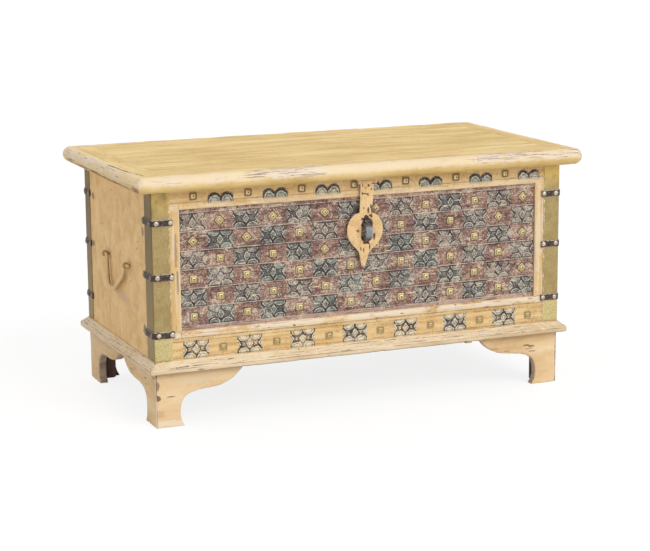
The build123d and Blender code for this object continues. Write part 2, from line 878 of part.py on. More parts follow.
with BuildPart() as hasp_bracket:
    block(
        (hasp_middle - hasp_bracket_width / 2, bracket_back, bracket_low),
        (hasp_middle + hasp_bracket_width / 2, bracket_front, lid_low),
    )
    for side in (-1, 1):
        inner = hasp_middle + side * lug_inner
        outer = hasp_middle + side * lug_outer
        block(
            (inner, hasp_y - hasp_loop_radius, hasp_z),
            (outer, hasp_y + hasp_loop_radius, bracket_low),
        )
        rod((inner, hasp_y, hasp_z), (outer, hasp_y, hasp_z), hasp_loop_radius)
        rod((inner, hasp_y, hasp_z), (outer, hasp_y, hasp_z), hasp_pin_radius, mode=Mode.SUBTRACT)
save(hasp_bracket, "hasp_bracket")

with BuildPart() as hasp_pin:
    pin_half = lug_outer + hasp_pin_overrun
    rod((hasp_middle - pin_half, hasp_y, hasp_z), (hasp_middle + pin_half, hasp_y, hasp_z), hasp_pin_radius)
save(hasp_pin, "hasp_pin")

bracket_middle = (bracket_back + bracket_front) / 2
bracket_screw_xs = [hasp_middle + side * hasp_screw_spacing / 2 for side in (-1, 1)]
with BuildPart() as hasp_bracket_screws:
    domes(
        [Plane(origin=(x, bracket_middle, bracket_low), z_dir=(0, 0, -1)) for x in bracket_screw_xs],
        screw_head_radius,
    )
save(hasp_bracket_screws, "hasp_bracket_screws")

blade_across = Vector(1, 0, 0).rotate(Axis.Y, hasp_lean_angle)
blade_plane = Plane(origin=(hasp_middle, hasp_y, hasp_z), x_dir=blade_across, z_dir=(0, -1, 0))
loop_ends = [(hasp_middle + end * hasp_top_width / 2, hasp_y, hasp_z) for end in (-1, 1)]
bore_ends = [(hasp_middle + end * lug_inner, hasp_y, hasp_z) for end in (-1, 1)]

with BuildPart() as hasp:
    with BuildSketch(blade_plane):
        with BuildLine():
            Polyline(
                (-hasp_top_width / 2, 0),
                (hasp_top_width / 2, 0),
                (hasp_neck_width / 2, -hasp_neck_drop),
                (-hasp_neck_width / 2, -hasp_neck_drop),
                close=True,
            )
        make_face()
        with Locations((0, -hasp_disc_drop)):
            Circle(hasp_disc_radius)
        with BuildLine():
            Polyline(
                (-hasp_cheek_width / 2, -hasp_cheek_drop),
                (-hasp_tail_width / 2, -hasp_tail_drop),
                (-hasp_tip_width / 2, -hasp_tip_drop),
                (0, -hasp_point_drop),
                (hasp_tip_width / 2, -hasp_tip_drop),
                (hasp_tail_width / 2, -hasp_tail_drop),
                (hasp_cheek_width / 2, -hasp_cheek_drop),
                close=True,
            )
        make_face()
        with Locations((hasp_slot_offset, -hasp_disc_drop)):
            SlotOverall(hasp_slot_length, hasp_slot_width, rotation=90, mode=Mode.SUBTRACT)
    extrude(amount=hasp_thickness / 2, both=True)
    rod(*loop_ends, hasp_loop_radius)
    rod(*bore_ends, hasp_pin_radius + running_gap, mode=Mode.SUBTRACT)
save(hasp, "hasp")
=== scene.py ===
import math
import random
from functools import reduce

import bmesh
import bpy
import numpy as np
from mathutils import Matrix, Vector, noise


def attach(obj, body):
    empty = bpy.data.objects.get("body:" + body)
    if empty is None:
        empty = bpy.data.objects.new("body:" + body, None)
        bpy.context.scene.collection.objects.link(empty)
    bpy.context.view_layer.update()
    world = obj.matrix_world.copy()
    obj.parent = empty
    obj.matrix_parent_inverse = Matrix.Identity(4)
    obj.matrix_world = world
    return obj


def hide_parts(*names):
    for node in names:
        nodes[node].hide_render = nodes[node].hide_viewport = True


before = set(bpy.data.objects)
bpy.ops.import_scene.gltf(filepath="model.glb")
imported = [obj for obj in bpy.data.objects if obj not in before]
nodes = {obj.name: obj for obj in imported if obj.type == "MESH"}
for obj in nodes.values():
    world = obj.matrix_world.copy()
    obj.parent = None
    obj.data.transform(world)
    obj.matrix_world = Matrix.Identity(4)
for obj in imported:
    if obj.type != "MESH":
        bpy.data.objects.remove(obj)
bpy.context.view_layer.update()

scene = bpy.context.scene

# ---------------------------------------------------------------- sizes of the chest, in metres
CASE_X, CASE_Y = 0.5, 0.256  # half width and half depth
PANEL_FACE, FRAME_FACE = -0.251, -CASE_Y
OPEN_X, OPEN_LOW, OPEN_HIGH = 0.4375, 0.213, 0.483  # the opening that the panel fills
PANEL_MIDDLE, ROWS, COLUMNS, ROW, COLUMN = 0.348, 6, 14, 0.042, 0.0625
BLOCK_HALF, CELL_HALF = 0.018, 0.028  # half height and half width of a carved block
PETAL, TOP_PETAL = 0.0104, 0.0145  # height of a petal, and of one on the top rail
TOP_RAIL_Z, BOTTOM_RAIL_Z = 0.511, 0.171  # middles of the nails on the rails
RAIL_XS = [-0.405 + 0.0635 * k for k in range(14)]
LID_X, LID_Y, NOSING, LEDGE, LEDGE_TOP = 0.481, 0.233, 0.066, 0.012, 0.014
LID_LOW, LID_THICK = 0.5264, 0.036
LID_TOP, LID_NOSE = LID_LOW + LID_THICK, LID_THICK / 2
LID_CORNER = 0.026  # radius of the lid's corners seen from above
BRASS_LEGS, STRAP_LEGS = (0.040, 0.048), (0.046, 0.056)  # along X and along Y, at a front corner
STRAP_LEVELS = (0.209, 0.337, 0.457)
HASP_X, HASP_Y, HASP_Z = 0.004, -0.265, 0.5174  # middle of the hasp's pin
HANDLE_X, HANDLE_Z = 0.509, 0.337  # axis of a bail handle


def placed(name, data):
    """A new object in the scene."""
    made = bpy.data.objects.new(name, data)
    scene.collection.objects.link(made)
    return made


# ---------------------------------------------------------------- camera, fitted to the corners in the photo
scene.view_settings.view_transform = "Standard"
YAW, PITCH, ROLL = (math.radians(a) for a in (22.8423, 11.4978, -0.43927))
ahead = Vector((math.sin(YAW) * math.cos(PITCH), math.cos(YAW) * math.cos(PITCH), -math.sin(PITCH)))
level = Vector((math.cos(YAW), -math.sin(YAW), 0))
above = level.cross(ahead)
right = level * math.cos(ROLL) + above * math.sin(ROLL)
top = above * math.cos(ROLL) - level * math.sin(ROLL)
camera = placed("camera", bpy.data.cameras.new("camera"))
camera.data.sensor_width, camera.data.lens = 36, 107.61
camera.matrix_world = Matrix.LocRotScale(
    Vector((-1.75467, -4.19248, 1.17832)),
    Matrix((right, top, -ahead)).transposed(),
    None,
)
scene.camera = camera


# ---------------------------------------------------------------- shader helpers
def linear(colour):
    """A colour as a painter would name it, 0 to 255, turned into Blender's linear one."""
    parts = [c / 255 for c in colour]
    return (*[c / 12.92 if c <= 0.04045 else ((c + 0.055) / 1.055) ** 2.4 for c in parts], 1)


class Graph:
    """A tree of shader nodes, with short ways of adding to it."""

    def __init__(self, tree):
        self.tree = tree
        tree.nodes.clear()

    def link(self, start, end):
        self.tree.links.new(start, end)

    def node(self, kind, inputs=None, **settings):
        """A new node; its inputs take a socket to link or a plain value."""
        made = self.tree.nodes.new("ShaderNode" + kind)
        for name, value in settings.items():
            setattr(made, name, value)
        for name, value in (inputs or {}).items():
            if isinstance(value, bpy.types.NodeSocket):
                self.link(value, made.inputs[name])
            else:
                made.inputs[name].default_value = value
        return made

    def math(self, kind, a, b=0.0):
        return self.node("Math", {0: a, 1: b}, operation=kind).outputs[0]

    def between(self, value, low, high):
        """0 below low, 1 above high and a smooth step between them; low may be the higher one."""
        ends = (low, high, 0.0, 1.0) if low <= high else (high, low, 1.0, 0.0)
        inputs = dict(zip(("From Min", "From Max", "To Min", "To Max"), ends))
        return self.node("MapRange", {"Value": value, **inputs}, interpolation_type="SMOOTHSTEP").outputs[0]

    def times(self, *shares):
        """The product of the shares; a share may be given as (value, low, high), for between."""
        shares = [self.between(*share) if isinstance(share, tuple) else share for share in shares]
        return reduce(lambda a, b: self.math("MULTIPLY", a, b), shares)

    def plus(self, *values):
        return reduce(lambda a, b: self.math("ADD", a, b), values)

    def most(self, *values):
        return reduce(lambda a, b: self.math("MAXIMUM", a, b), values)

    def seen_directly(self):
        """1 for what the camera sees, also in mirrors and through glass."""
        path = self.node("LightPath")
        return self.most(*(path.outputs[f"Is {kind} Ray"] for kind in ("Camera", "Glossy", "Transmission")))


class Shader(Graph):
    """One material, whose colour is laid up coat by coat in base.

    Colours are given as (red, green, blue), 0 to 255, or as a socket.
    """

    def __init__(self, name, **fixed):
        self.material = bpy.data.materials.new(name)
        self.material.use_nodes = True
        super().__init__(self.material.node_tree)
        self.output = self.node("OutputMaterial")
        inputs = {key.replace("_", " "): value for key, value in fixed.items()}
        self.surface = self.node("BsdfPrincipled", inputs)
        self.link(self.surface.outputs[0], self.output.inputs[0])
        coordinates = self.node("TexCoord").outputs
        self.place = coordinates["Object"]
        self.x, self.y, self.z = self.node("SeparateXYZ", {0: self.place}).outputs
        self.facing = self.node("SeparateXYZ", {0: coordinates["Normal"]}).outputs
        self.base = None

    def mix(self, share, a, b):
        a, b = (linear(colour) if isinstance(colour, tuple) else colour for colour in (a, b))
        return self.node("Mix", {0: share, 6: a, 7: b}, data_type="RGBA").outputs[2]

    def lay(self, tint, *shares):
        """Lay a tint over the base, as thick as the product of the shares."""
        self.base = self.mix(self.times(*shares), self.base, tint)

    def ramp(self, value, places, tones):
        """The tone at its place of value, and blends between them."""
        made = self.node("ValToRGB", {0: value})
        elements = made.color_ramp.elements
        while len(elements) < len(tones):
            elements.new(0.5)
        for element, place, tone in zip(elements, places, tones):
            element.position, element.color = place, linear(tone)
        return made.outputs[0]

    def stretched(self, stretch, shift=(0, 0, 0)):
        """Places with so many features a metre along each axis, or with one number along all three."""
        scale = stretch if isinstance(stretch, tuple) else (stretch,) * 3
        return self.node("Mapping", {"Vector": self.place, "Scale": scale, "Location": shift}).outputs[0]

    def noise(self, stretch, detail=4, rough=0.6, shift=(0, 0, 0), warp=0.0):
        """Cloudy noise, mostly between 0.35 and 0.65."""
        inputs = {"Scale": 1.0, "Detail": detail, "Roughness": rough, "Distortion": warp}
        return self.node("TexNoise", {"Vector": self.stretched(stretch, shift), **inputs}).outputs[0]

    def cells(self, stretch):
        """Distance from the nearest of scattered places, and a random colour for each place."""
        made = self.node("TexVoronoi", {"Vector": self.stretched(stretch), "Scale": 1.0})
        return made.outputs["Distance"], made.outputs["Color"]

    def dashes(self, stretch, share):
        """Short marks at a share of scattered places."""
        distance, colour = self.cells(stretch)
        chosen = self.node("SeparateColor", {0: colour}).outputs[0]
        return self.times((distance, 0.4, 0.2), (chosen, share + 0.01, share - 0.01))

    def swing(self, value, reach):
        """Noise turned into a swing about 0."""
        return self.times(self.math("SUBTRACT", value, 0.5), reach)

    def line(self, value, middle, half):
        """1 where value is within half of middle, with soft ends."""
        away = self.math("ABSOLUTE", self.math("SUBTRACT", value, middle))
        return self.between(away, half * 1.25, half * 0.6)

    def reach(self, centre, radii, turn=0.0):
        """Distance from a point as a share of the radii, which may be turned about Z."""
        inputs = {"Vector": self.place, "Location": centre, "Scale": radii, "Rotation": (0, 0, turn)}
        scaled = self.node("Mapping", inputs, vector_type="TEXTURE").outputs[0]
        return self.node("VectorMath", {0: scaled}, operation="LENGTH").outputs["Value"]

    def edge(self, radius):
        """1 along the arrises and 0 on the flats."""
        rounded = self.node("Bevel", {"Radius": radius}, samples=4).outputs[0]
        flat = self.node("NewGeometry").outputs["Normal"]
        dot = self.node("VectorMath", {0: rounded, 1: flat}, operation="DOT_PRODUCT").outputs["Value"]
        return self.between(dot, 0.995, 0.86)

    def kept(self, name):
        """The three numbers a point that paint_points has left on the mesh."""
        attribute = self.node("Attribute", attribute_name=name)
        return self.node("SeparateColor", {0: attribute.outputs["Color"]}).outputs

    def finished(self, value, low, high, *layers):
        """The material with its base colour, a roughness from low to high by value, and bumps.

        layers are pairs of height and depth in metres.
        """
        inputs = self.surface.inputs
        self.link(self.base, inputs["Base Color"])
        shine = self.node("MapRange", {"Value": value, "To Min": low, "To Max": high})
        self.link(shine.outputs[0], inputs["Roughness"])
        total = self.plus(*(self.times(height, depth) for height, depth in layers))
        bump = self.node("Bump", {"Height": total, "Strength": 1.0, "Distance": 1.0})
        self.link(bump.outputs[0], inputs["Normal"])
        return self.material


def along(grain, slow, fast):
    """Features a metre: slow along the grain, fast across it."""
    return tuple(slow if axis == grain else fast for axis in "XYZ")


# ---------------------------------------------------------------- paint and wood
SCRATCH, MAUVE, WORN = (116, 90, 74), (146, 120, 108), (240, 224, 200)
CRACK, CHIP = (88, 62, 50), (66, 50, 44)


def painted_wood(
    name, grain, tones, wear, scratches, streaky=0.4, specks=0.3, scratch=SCRATCH, worn=WORN,
    patches=(), marks=(), over=None, even=False,
):
    """Old paint over wood: clouded colour, faint grain, scratches along it and bare rubbed arrises.

    tones are deep, middle and light. patches are (centre, radii, tint, share) and marks (centre, radii,
    tint), with a turn after it if need be; over lays more on top. even paint has round clouds and no grain.
    """
    s = Shader(name, Specular_IOR_Level=0.3)
    cloud = s.noise(24 if even else along(grain, 6, 15), 5, 0.62, (3.1, 1.7, 0.4), 0.5)
    streak = s.noise(90 if even else along(grain, 4, 95), 5, warp=0.3)
    fine = s.noise(340 if even else along(grain, 130, 380), 4, 0.7, (8.0, 3.0, 5.0))
    s.base = s.ramp(cloud, (0.34, 0.5, 0.66), tones)
    s.lay(tones[2], (streak, 0.5, 0.7), streaky)
    s.lay(tones[0], (streak, 0.5, 0.3), streaky)
    s.lay(scratch, (fine, 0.60, 0.72), specks)
    s.lay(worn, (fine, 0.40, 0.30), specks)
    # Rubbed arrises, where the undercoat shows pinkish white
    ragged = s.noise(60, 6, 0.72, (0.7, 2.2, 5.1))
    edge = s.edge(0.006)
    rubbed = s.between(s.plus(s.times(edge, 0.45), ragged), 1.02 - 0.34 * wear, 1.1 - 0.34 * wear)
    s.lay(worn, rubbed, 0.85)
    # Scratches, dark and thin along the grain, in patches and along the arrises
    hairs = s.noise(along(grain, 9, 420), shift=(9.0, 4.0, 2.0))
    where = s.noise(9, shift=(5.0, 8.0, 1.0))
    low = 0.68 - 0.14 * scratches
    dark = s.most(
        s.times((hairs, 0.60, 0.66), (where, low, low + 0.1)),
        s.times(edge, (hairs, 0.54, 0.6), (where, 0.46, 0.56), min(0.8, scratches * 1.3)),
        s.dashes(along(grain, 30, 240), 0.05 * scratches),
    )
    s.lay(scratch, dark, 0.85)
    if over:
        over(s, ragged)
    for centre, radii, tint, share in patches:
        s.lay(tint, (s.plus(s.reach(centre, radii), s.swing(ragged, 2.4)), 1.1, 0.8), share)
    for centre, radii, tint, *turn in marks:
        s.lay(tint, (s.reach(centre, radii, *turn), 1.0, 0.6))
    bumps = (cloud, 0.0008), (streak, 0.0003), (fine, 0.00025), (dark, -0.0004), (rubbed, -0.0003)
    return s.finished(streak, 0.75, 0.5, *bumps)


def on_case(front, *rows):
    """Patches on the front of the case, or on its left side.

    A row holds place along the face, height and half sizes along both in millimetres, tint and share.
    """
    patches = []
    for *sizes, tint, share in rows:
        run, rise, half_run, half_rise = (size / 1000 for size in sizes)
        centre = (run, -CASE_Y, rise) if front else (-CASE_X, run, rise)
        radii = (half_run, 0.02, half_rise) if front else (0.02, half_run, half_rise)
        patches.append((centre, radii, tint, share))
    return tuple(patches)


def lid_crown(grain, start, pale):
    """Pale paint with mauve scratches on the upper round of the lid's edge; the pale is partly painted
    highlight where the round faces the light, partly rubbed paint.
    """
    def over(s, ragged):
        out = s.math("ABSOLUTE", {"X": s.y, "Y": s.x}[grain])
        wander = s.swing(ragged, 0.016)
        crown = s.times(
            (s.plus(out, wander), start, start + 0.010), (s.plus(s.z, wander), 0.538, 0.548)
        )
        # Painted highlight mixed with rubbed paint: the upper round made pale
        s.lay(pale, crown, 0.75)
        patch = s.noise(along(grain, 9, 30), shift=(2.0, 9.0, 4.0))
        worst = s.most(*(
            s.between(s.reach((x, -0.29, 0.556), (half, 0.05, 0.02)), 1.2, 0.6)
            for x, half in ((-0.21, 0.11), (0.44, 0.2))
        ))
        pink = s.between(s.plus(patch, s.times(worst, 0.12)), 0.52, 0.62)
        s.lay((242, 224, 208), crown, pink, (ragged, 0.35, 0.55), 0.75)
        hairs = s.noise(along(grain, 14, 330), 4, 0.65, (7.0, 2.0, 6.0))
        found = s.between(s.plus(hairs, s.times(worst, 0.07)), 0.58, 0.64)
        s.lay(MAUVE, crown, found, (s.plus(patch, s.times(worst, 0.2)), 0.48, 0.58), 0.8)
    return over


def lid_grain(s, ragged):
    """Wide streaks along the boards, and short dark ones where the paint is worn through."""
    wide = s.noise((5, 42, 42), 5, 0.65, (6.0, 3.0, 1.0))
    s.lay((206, 168, 98), (wide, 0.5, 0.36), 0.6)
    s.lay((248, 224, 168), (wide, 0.52, 0.66), 0.6)
    thin = s.noise((9, 120, 120), 4, 0.7, (2.0, 5.0, 1.0))
    s.lay((150, 116, 74), (thin, 0.62, 0.68), (ragged, 0.45, 0.6), 0.6)


def moulding_tones(grain):
    """A whitish, scratched slope above the round nose of the base moulding, and painted shade under it."""
    def over(s, ragged):
        tilt = s.facing[2]
        slope = s.times((tilt, 0.25, 0.5), (s.z, 0.128, 0.133))
        s.lay((244, 226, 194), slope, (ragged, 0.4, 0.6), 0.7)
        hairs = s.noise(along(grain, 10, 300), 4, 0.65, (4.0, 7.0, 1.0))
        s.lay(MAUVE, slope, (hairs, 0.55, 0.61), (ragged, 0.43, 0.53))
        s.lay((120, 92, 66), s.line(s.z, 0.1345, 0.0009), (hairs, 0.42, 0.5), 0.7)
        # Painted shade on the faces that look down
        s.lay((150, 122, 72), (tilt, -0.3, -0.7), 0.7)
    return over


def foot_faces(axis):
    """Bare grey-pink cut edges, and painted shadow, dark brown, on the inside of a foot that faces along an
    axis.
    """
    def over(s, ragged):
        outward = s.times(s.facing[axis], s.math("SIGN", (s.x, s.y)[axis]))
        corner = s.math("ABSOLUTE", s.facing[1 - axis])
        cut = s.times((outward, 0.62, 0.4), (s.z, 0.001, 0.003))
        bare = s.mix(s.between(ragged, 0.35, 0.6), (160, 138, 124), (212, 188, 166))
        out, near = s.math("ABSOLUTE", (s.x, s.y)[1 - axis]), (CASE_X, CASE_Y)[1 - axis] - 0.03
        outer = s.times((corner, 0.6, 0.9), (out, near, near + 0.02))
        s.lay(bare, cut, s.math("SUBTRACT", 1.0, outer))
        # Painted shadow: dark brown on the inner faces of the foot
        s.lay(s.mix(ragged, (62, 42, 40), (96, 68, 60)), (outward, -0.4, -0.7))
    return over


LID_TONES = (214, 181, 108), (233, 199, 130), (244, 216, 154)
LID_TOP_TONES = (221, 187, 116), (232, 198, 128), (241, 211, 146)
BASE_TONES = (216, 188, 146), (231, 207, 170), (242, 221, 188)
FRAME_TONES = (212, 172, 112), (230, 193, 134), (241, 211, 158)
FEET_TONES = (220, 183, 132), (236, 202, 153), (245, 218, 176)
SIDE_TONES = (222, 181, 118), (238, 198, 137), (248, 211, 154)
lid_x = painted_wood(
    "lid_paint_x", "X", LID_TOP_TONES, wear=0.1, scratches=0.6, streaky=0.7, specks=0.8, over=lid_grain,
    patches=(((0.05, 0.262, LID_TOP), (0.07, 0.03, 0.02), (190, 172, 112), 0.6),),
    marks=tuple(
        ((x, y, LID_TOP), (length, 0.0018, 0.004), tint)
        for x, y, length, tint in (
            (-0.325, 0.070, 0.018, (150, 128, 104)), (-0.295, 0.078, 0.014, (160, 136, 108)),
            (-0.509, 0.101, 0.006, (120, 88, 60)), (-0.325, -0.132, 0.012, (120, 96, 70)),
            (-0.205, -0.155, 0.018, (196, 120, 84)), (0.383, 0.27, 0.09, (140, 116, 70)),
            (0.05, 0.278, 0.05, (150, 140, 96)), (-0.404, 0.215, 0.03, (246, 220, 150)),
        )
    ),
)
edge_x = painted_wood(
    "edge_paint_x", "X", LID_TONES, wear=0.5, scratches=0.5, streaky=0.3, specks=0.3,
    over=lid_crown("X", 0.272, (248, 228, 196)),
)
edge_y = painted_wood(
    "edge_paint_y", "Y", LID_TONES, wear=0.6, scratches=0.5, streaky=0.3, specks=0.3,
    over=lid_crown("Y", 0.520, (242, 218, 176)),
    patches=(
        ((-0.541, -0.275, 0.534), (0.012, 0.016, 0.008), (168, 126, 108), 0.8),
        ((-0.536, -0.285, 0.556), (0.012, 0.012, 0.006), (226, 190, 178), 0.8),
        # Painted shade: dark bands along the lower round of the left edge, where it turns under
        ((-0.5425, 0.22, 0.536), (0.012, 0.03, 0.004), (150, 118, 92), 0.7),
        ((-0.5425, -0.05, 0.534), (0.012, 0.05, 0.003), (176, 136, 96), 0.6),
        ((-0.540, -0.12, 0.5335), (0.014, 0.15, 0.0036), (122, 88, 66), 0.85),
        ((-0.540, 0.12, 0.5325), (0.014, 0.10, 0.0028), (138, 102, 76), 0.7),
    ),
    marks=(
        ((-0.5425, 0.10, 0.5375), (0.012, 0.070, 0.0016), CRACK),
        ((-0.5425, 0.02, 0.5365), (0.012, 0.045, 0.0024), CRACK),
        ((-0.5425, 0.20, 0.5415), (0.012, 0.030, 0.0012), CRACK),
        ((-0.533, -0.10, 0.5600), (0.0022, 0.06, 0.006), CRACK, 0.05),
        ((-0.5285, -0.17, 0.5618), (0.0022, 0.05, 0.006), CRACK, 0.08),
        ((-0.519, -0.235, 0.5624), (0.002, 0.03, 0.006), CRACK, 0.2),
    ),
)
frame_x = painted_wood("frame_paint_x", "X", FRAME_TONES, wear=0.6, scratches=0.6)
frame_z = painted_wood(
    "frame_paint_z", "Z", FRAME_TONES, wear=0.85, scratches=0.95, streaky=0.5, specks=0.5,
    patches=on_case(
        True,
        (-447.5, 390, 3.5, 40, (160, 130, 112), 0.7), (-444.5, 325, 3, 30, (140, 110, 96), 0.65),
        (-452, 420, 3, 60, WORN, 0.5), (-448, 300, 3, 50, WORN, 0.4), (447, 360, 6, 130, WORN, 0.6),
        (458.5, 400, 2.5, 90, WORN, 0.6), (458.5, 240, 2.5, 50, WORN, 0.5),
    # Painted shade: a greyish strip on the right stile's inner edge, in the recess beside the panel
    ) + (((0.4385, -0.252, 0.35), (0.002, 0.02, 0.12), (190, 172, 142), 0.4),),
)
side_paint = painted_wood(
    "side_paint", "Z", SIDE_TONES, wear=0.2, scratches=0.05, streaky=0.3, specks=0.5,
    scratch=(140, 100, 72), even=True,
    patches=on_case(
        False,
        (-30, 255, 50, 12, (214, 172, 140), 0.6), (-130, 250, 20, 8, (208, 166, 134), 0.5),
        (190, 455, 10, 10, (120, 92, 74), 0.8), (-190, 430, 8, 12, (130, 100, 78), 0.7),
        (-190, 210, 14, 14, (120, 96, 78), 0.8), (195, 340, 12, 8, (124, 96, 78), 0.7),
    ),
    marks=tuple(
        ((-CASE_X, y, z), (0.02, 0.0035, 0.0022), (116, 84, 62)) for y, z in (
            (-0.004, 0.472), (-0.15, 0.40), (-0.145, 0.385), (0.04, 0.49), (-0.09, 0.30), (0.12, 0.40)
        )
    ),
)
feet_x = painted_wood(
    "feet_paint_x", "X", FEET_TONES, wear=0.7, scratches=0.5, streaky=0.3, specks=0.3, over=foot_faces(1),
    patches=on_case(
        True,
        (418, 96.5, 10, 2, SCRATCH, 0.85), (431, 93.5, 8, 2.2, SCRATCH, 0.8),
        (424, 88, 13, 2.4, (196, 152, 128), 0.7), (-497, 95, 6, 10, SCRATCH, 0.7),
        (-497, 67, 8, 6, SCRATCH, 0.9), (-495, 35, 12, 10, (206, 170, 140), 0.6),
        (-400, 100, 50, 6, (226, 214, 190), 0.5), (-470, 8, 50, 8, WORN, 0.7),
    ),
)
feet_y = painted_wood(
    "feet_paint_y", "Y", FEET_TONES, wear=0.7, scratches=0.5, streaky=0.3, specks=0.3, over=foot_faces(0)
)
base_x, base_y = (
    painted_wood(
        "base_paint_" + grain.lower(), grain, BASE_TONES, wear=wear, scratches=scratches,
        streaky=0.4, specks=0.4, over=moulding_tones(grain),
    ) for grain, wear, scratches in (("X", 0.8, 0.9), ("Y", 0.7, 0.6))
)


def raw_wood(name, grain, tones):
    s = Shader(name, Specular_IOR_Level=0.3)
    streak = s.noise(along(grain, 4, 160), 6, warp=0.4)
    ring = s.noise(along(grain, 1.5, 35), 3, 0.5, warp=1.0)
    s.base = s.ramp(streak, (0.3, 0.5, 0.75), tones)
    s.lay(tones[0], (ring, 0.5, 0.62), 0.4)
    return s.finished(streak, 0.85, 0.65, (streak, 0.0007), (ring, 0.0005))


BOARD_TONES = (92, 62, 46), (128, 92, 66), (158, 120, 90)
raw_x = raw_wood("raw_wood_x", "X", BOARD_TONES)
raw_y = raw_wood("raw_wood_y", "Y", BOARD_TONES)
raw_z = raw_wood("raw_wood_z", "Z", ((78, 55, 46), (104, 76, 62), (140, 110, 92)))

# Chips in the paint of the hasp: across from the bracket's middle, drop from the pin, half sizes in mm
HASP_CHIPS = (
    (2.0, 9, 3.2, 4), (-9, 27, 4, 1.6), (-2, 28, 4, 1.4), (1, 31, 3, 1.2), (-13, 26, 2, 4), (8, 57, 2.2, 6),
    (10, 68, 1.8, 12), (1.5, 66, 2.6, 8), (-4, 82, 5, 7), (9, 80, 3, 5), (-24, 111, 2.6, 3.4),
    (5, 146, 1.8, 7), (1.5, 140, 3.4, 3), (-11, 84, 5, 3), (-17, 152, 1.4, 5), (-12.5, 100, 3, 12),
    (16, 124, 2.4, 8), (-2, 80, 6, 3), (6, 77, 3, 4), (-4, 139, 8, 3), (4, 150, 1.6, 6), (-10, 156, 1.2, 5),
    (-27, 110, 1.6, 2), (11, 62, 1.5, 7), (-12, 8, 2, 6), (-6, 14, 1.4, 3), (9, 18, 1.4, 3), (13, 4, 3, 2),
    (-9, 60, 1.2, 3),
)


def pitted(s, ragged):
    """Small pits and pale crumbs all over, and brown where the paint is ragged."""
    pits = s.noise(520, 3, 0.7, (3.0, 3.0, 3.0))
    s.lay((186, 138, 92), (pits, 0.55, 0.63), 0.6)
    s.lay((254, 232, 190), (pits, 0.45, 0.37), 0.6)
    s.lay((150, 108, 72), (ragged, 0.54, 0.6), (pits, 0.5, 0.58), 0.5)


def painted_bail_shade(s, ragged):
    """Painted shade, brown, along the side of the bar that faces the board."""
    outward = s.times(s.facing[0], s.math("SIGN", s.x))
    s.lay((128, 98, 58), (outward, -0.05, -0.5), (ragged, 0.28, 0.48), 0.85)


forged_paint = painted_wood(
    "forged_paint", "Z", ((228, 184, 122), (240, 200, 142), (247, 214, 162)),
    wear=0.9, scratches=0.35, streaky=0.3, specks=0.6,
    scratch=(120, 88, 62), worn=(250, 228, 196), even=True, over=pitted,
    patches=tuple(
        ((HASP_X + x / 1000, -0.267, HASP_Z - drop / 1000), (half_x / 1000, 0.006, half_z / 1000), CHIP, 0.9)
        for x, drop, half_x, half_z in HASP_CHIPS
    ),
)
bail_paint = painted_wood(
    "bail_paint", "Z", ((218, 180, 122), (236, 204, 150), (248, 226, 184)),
    wear=0.3, scratches=0.4, streaky=0.2, specks=0.3,
    scratch=(110, 84, 58), worn=(244, 214, 182), over=painted_bail_shade,
)
eye_paint = painted_wood(
    "eye_paint", "Z", ((108, 82, 56), (150, 120, 84), (196, 164, 122)),
    wear=0.6, scratches=0.6, streaky=0.3, specks=0.5, scratch=(70, 52, 38), worn=(214, 190, 158),
)


# ---------------------------------------------------------------- metals
def metal(name, tones, grit=500, dents=60, shine=(0.45, 0.7), metallic=1.0, wear=0.5, over=None):
    """Cast or hammered metal: darker in its dents, brighter where hands rub it.

    grit and dents are features a metre, and shine is its lowest and highest roughness.
    """
    s = Shader(name, Metallic=metallic)
    dent = s.noise(dents, 3, 0.5)
    grain = s.noise(grit, shift=(2.0, 1.0, 7.0))
    s.base = s.ramp(grain, (0.3, 0.5, 0.7), tones)
    s.base = s.mix(s.between(dent, 0.35, 0.6), s.mix(0.5, s.base, tones[0]), s.base)
    s.lay(tones[2], s.edge(0.002), wear)
    if over:
        over(s, dent)
    return s.finished(grain, *shine, (dent, 0.0004), (grain, 0.00012))


def off_front(s):
    """1 for metal on the sides and back, 0 for metal on the front."""
    return s.between(s.y, FRAME_FACE - 0.0008, FRAME_FACE - 0.0002)


def painted_side_shade(s, dent):
    """Painted shade: darker, browner metal on the sides and back, which catch less light than the front."""
    s.lay((104, 88, 74), off_front(s), 0.8)


def clad_tones(s, dent):
    """Gold under the lid, khaki below it, pale and hammered at the foot, and painted shade on the sides and
    back, dark brown and darkest at the top.
    """
    pits = s.cells((640, 640, 560))[0]
    brushed = s.noise((800, 800, 60), 4, 0.65, (3.0, 3.0, 1.0))
    s.lay((126, 110, 66), (brushed, 0.52, 0.36), 0.3)
    s.lay((206, 184, 138), (brushed, 0.52, 0.66), 0.3)
    s.lay((130, 112, 72), (pits, 0.5, 0.8), 0.3)
    s.lay((222, 188, 106), (s.z, 0.465, 0.505), (dent, 0.3, 0.6), 0.7)
    low = s.between(s.z, 0.205, 0.197)
    s.lay((222, 206, 150), low, 0.75)
    s.lay((250, 240, 186), low, (pits, 0.3, 0.1), 0.8)
    s.lay((150, 138, 82), low, (pits, 0.5, 0.75), 0.6)
    cut = s.between(s.math("ABSOLUTE", s.x), 0.4640, 0.4608)
    flecks = s.noise((160, 160, 90), 4, 0.7, (1.0, 8.0, 2.0))
    s.lay((236, 224, 196), cut, (flecks, 0.50, 0.56), 0.8)
    # Painted shade on the sides and back, darkest at the top
    s.lay(s.mix(s.between(s.z, 0.5, 0.2), (92, 72, 40), (130, 108, 66)), off_front(s), 0.78)


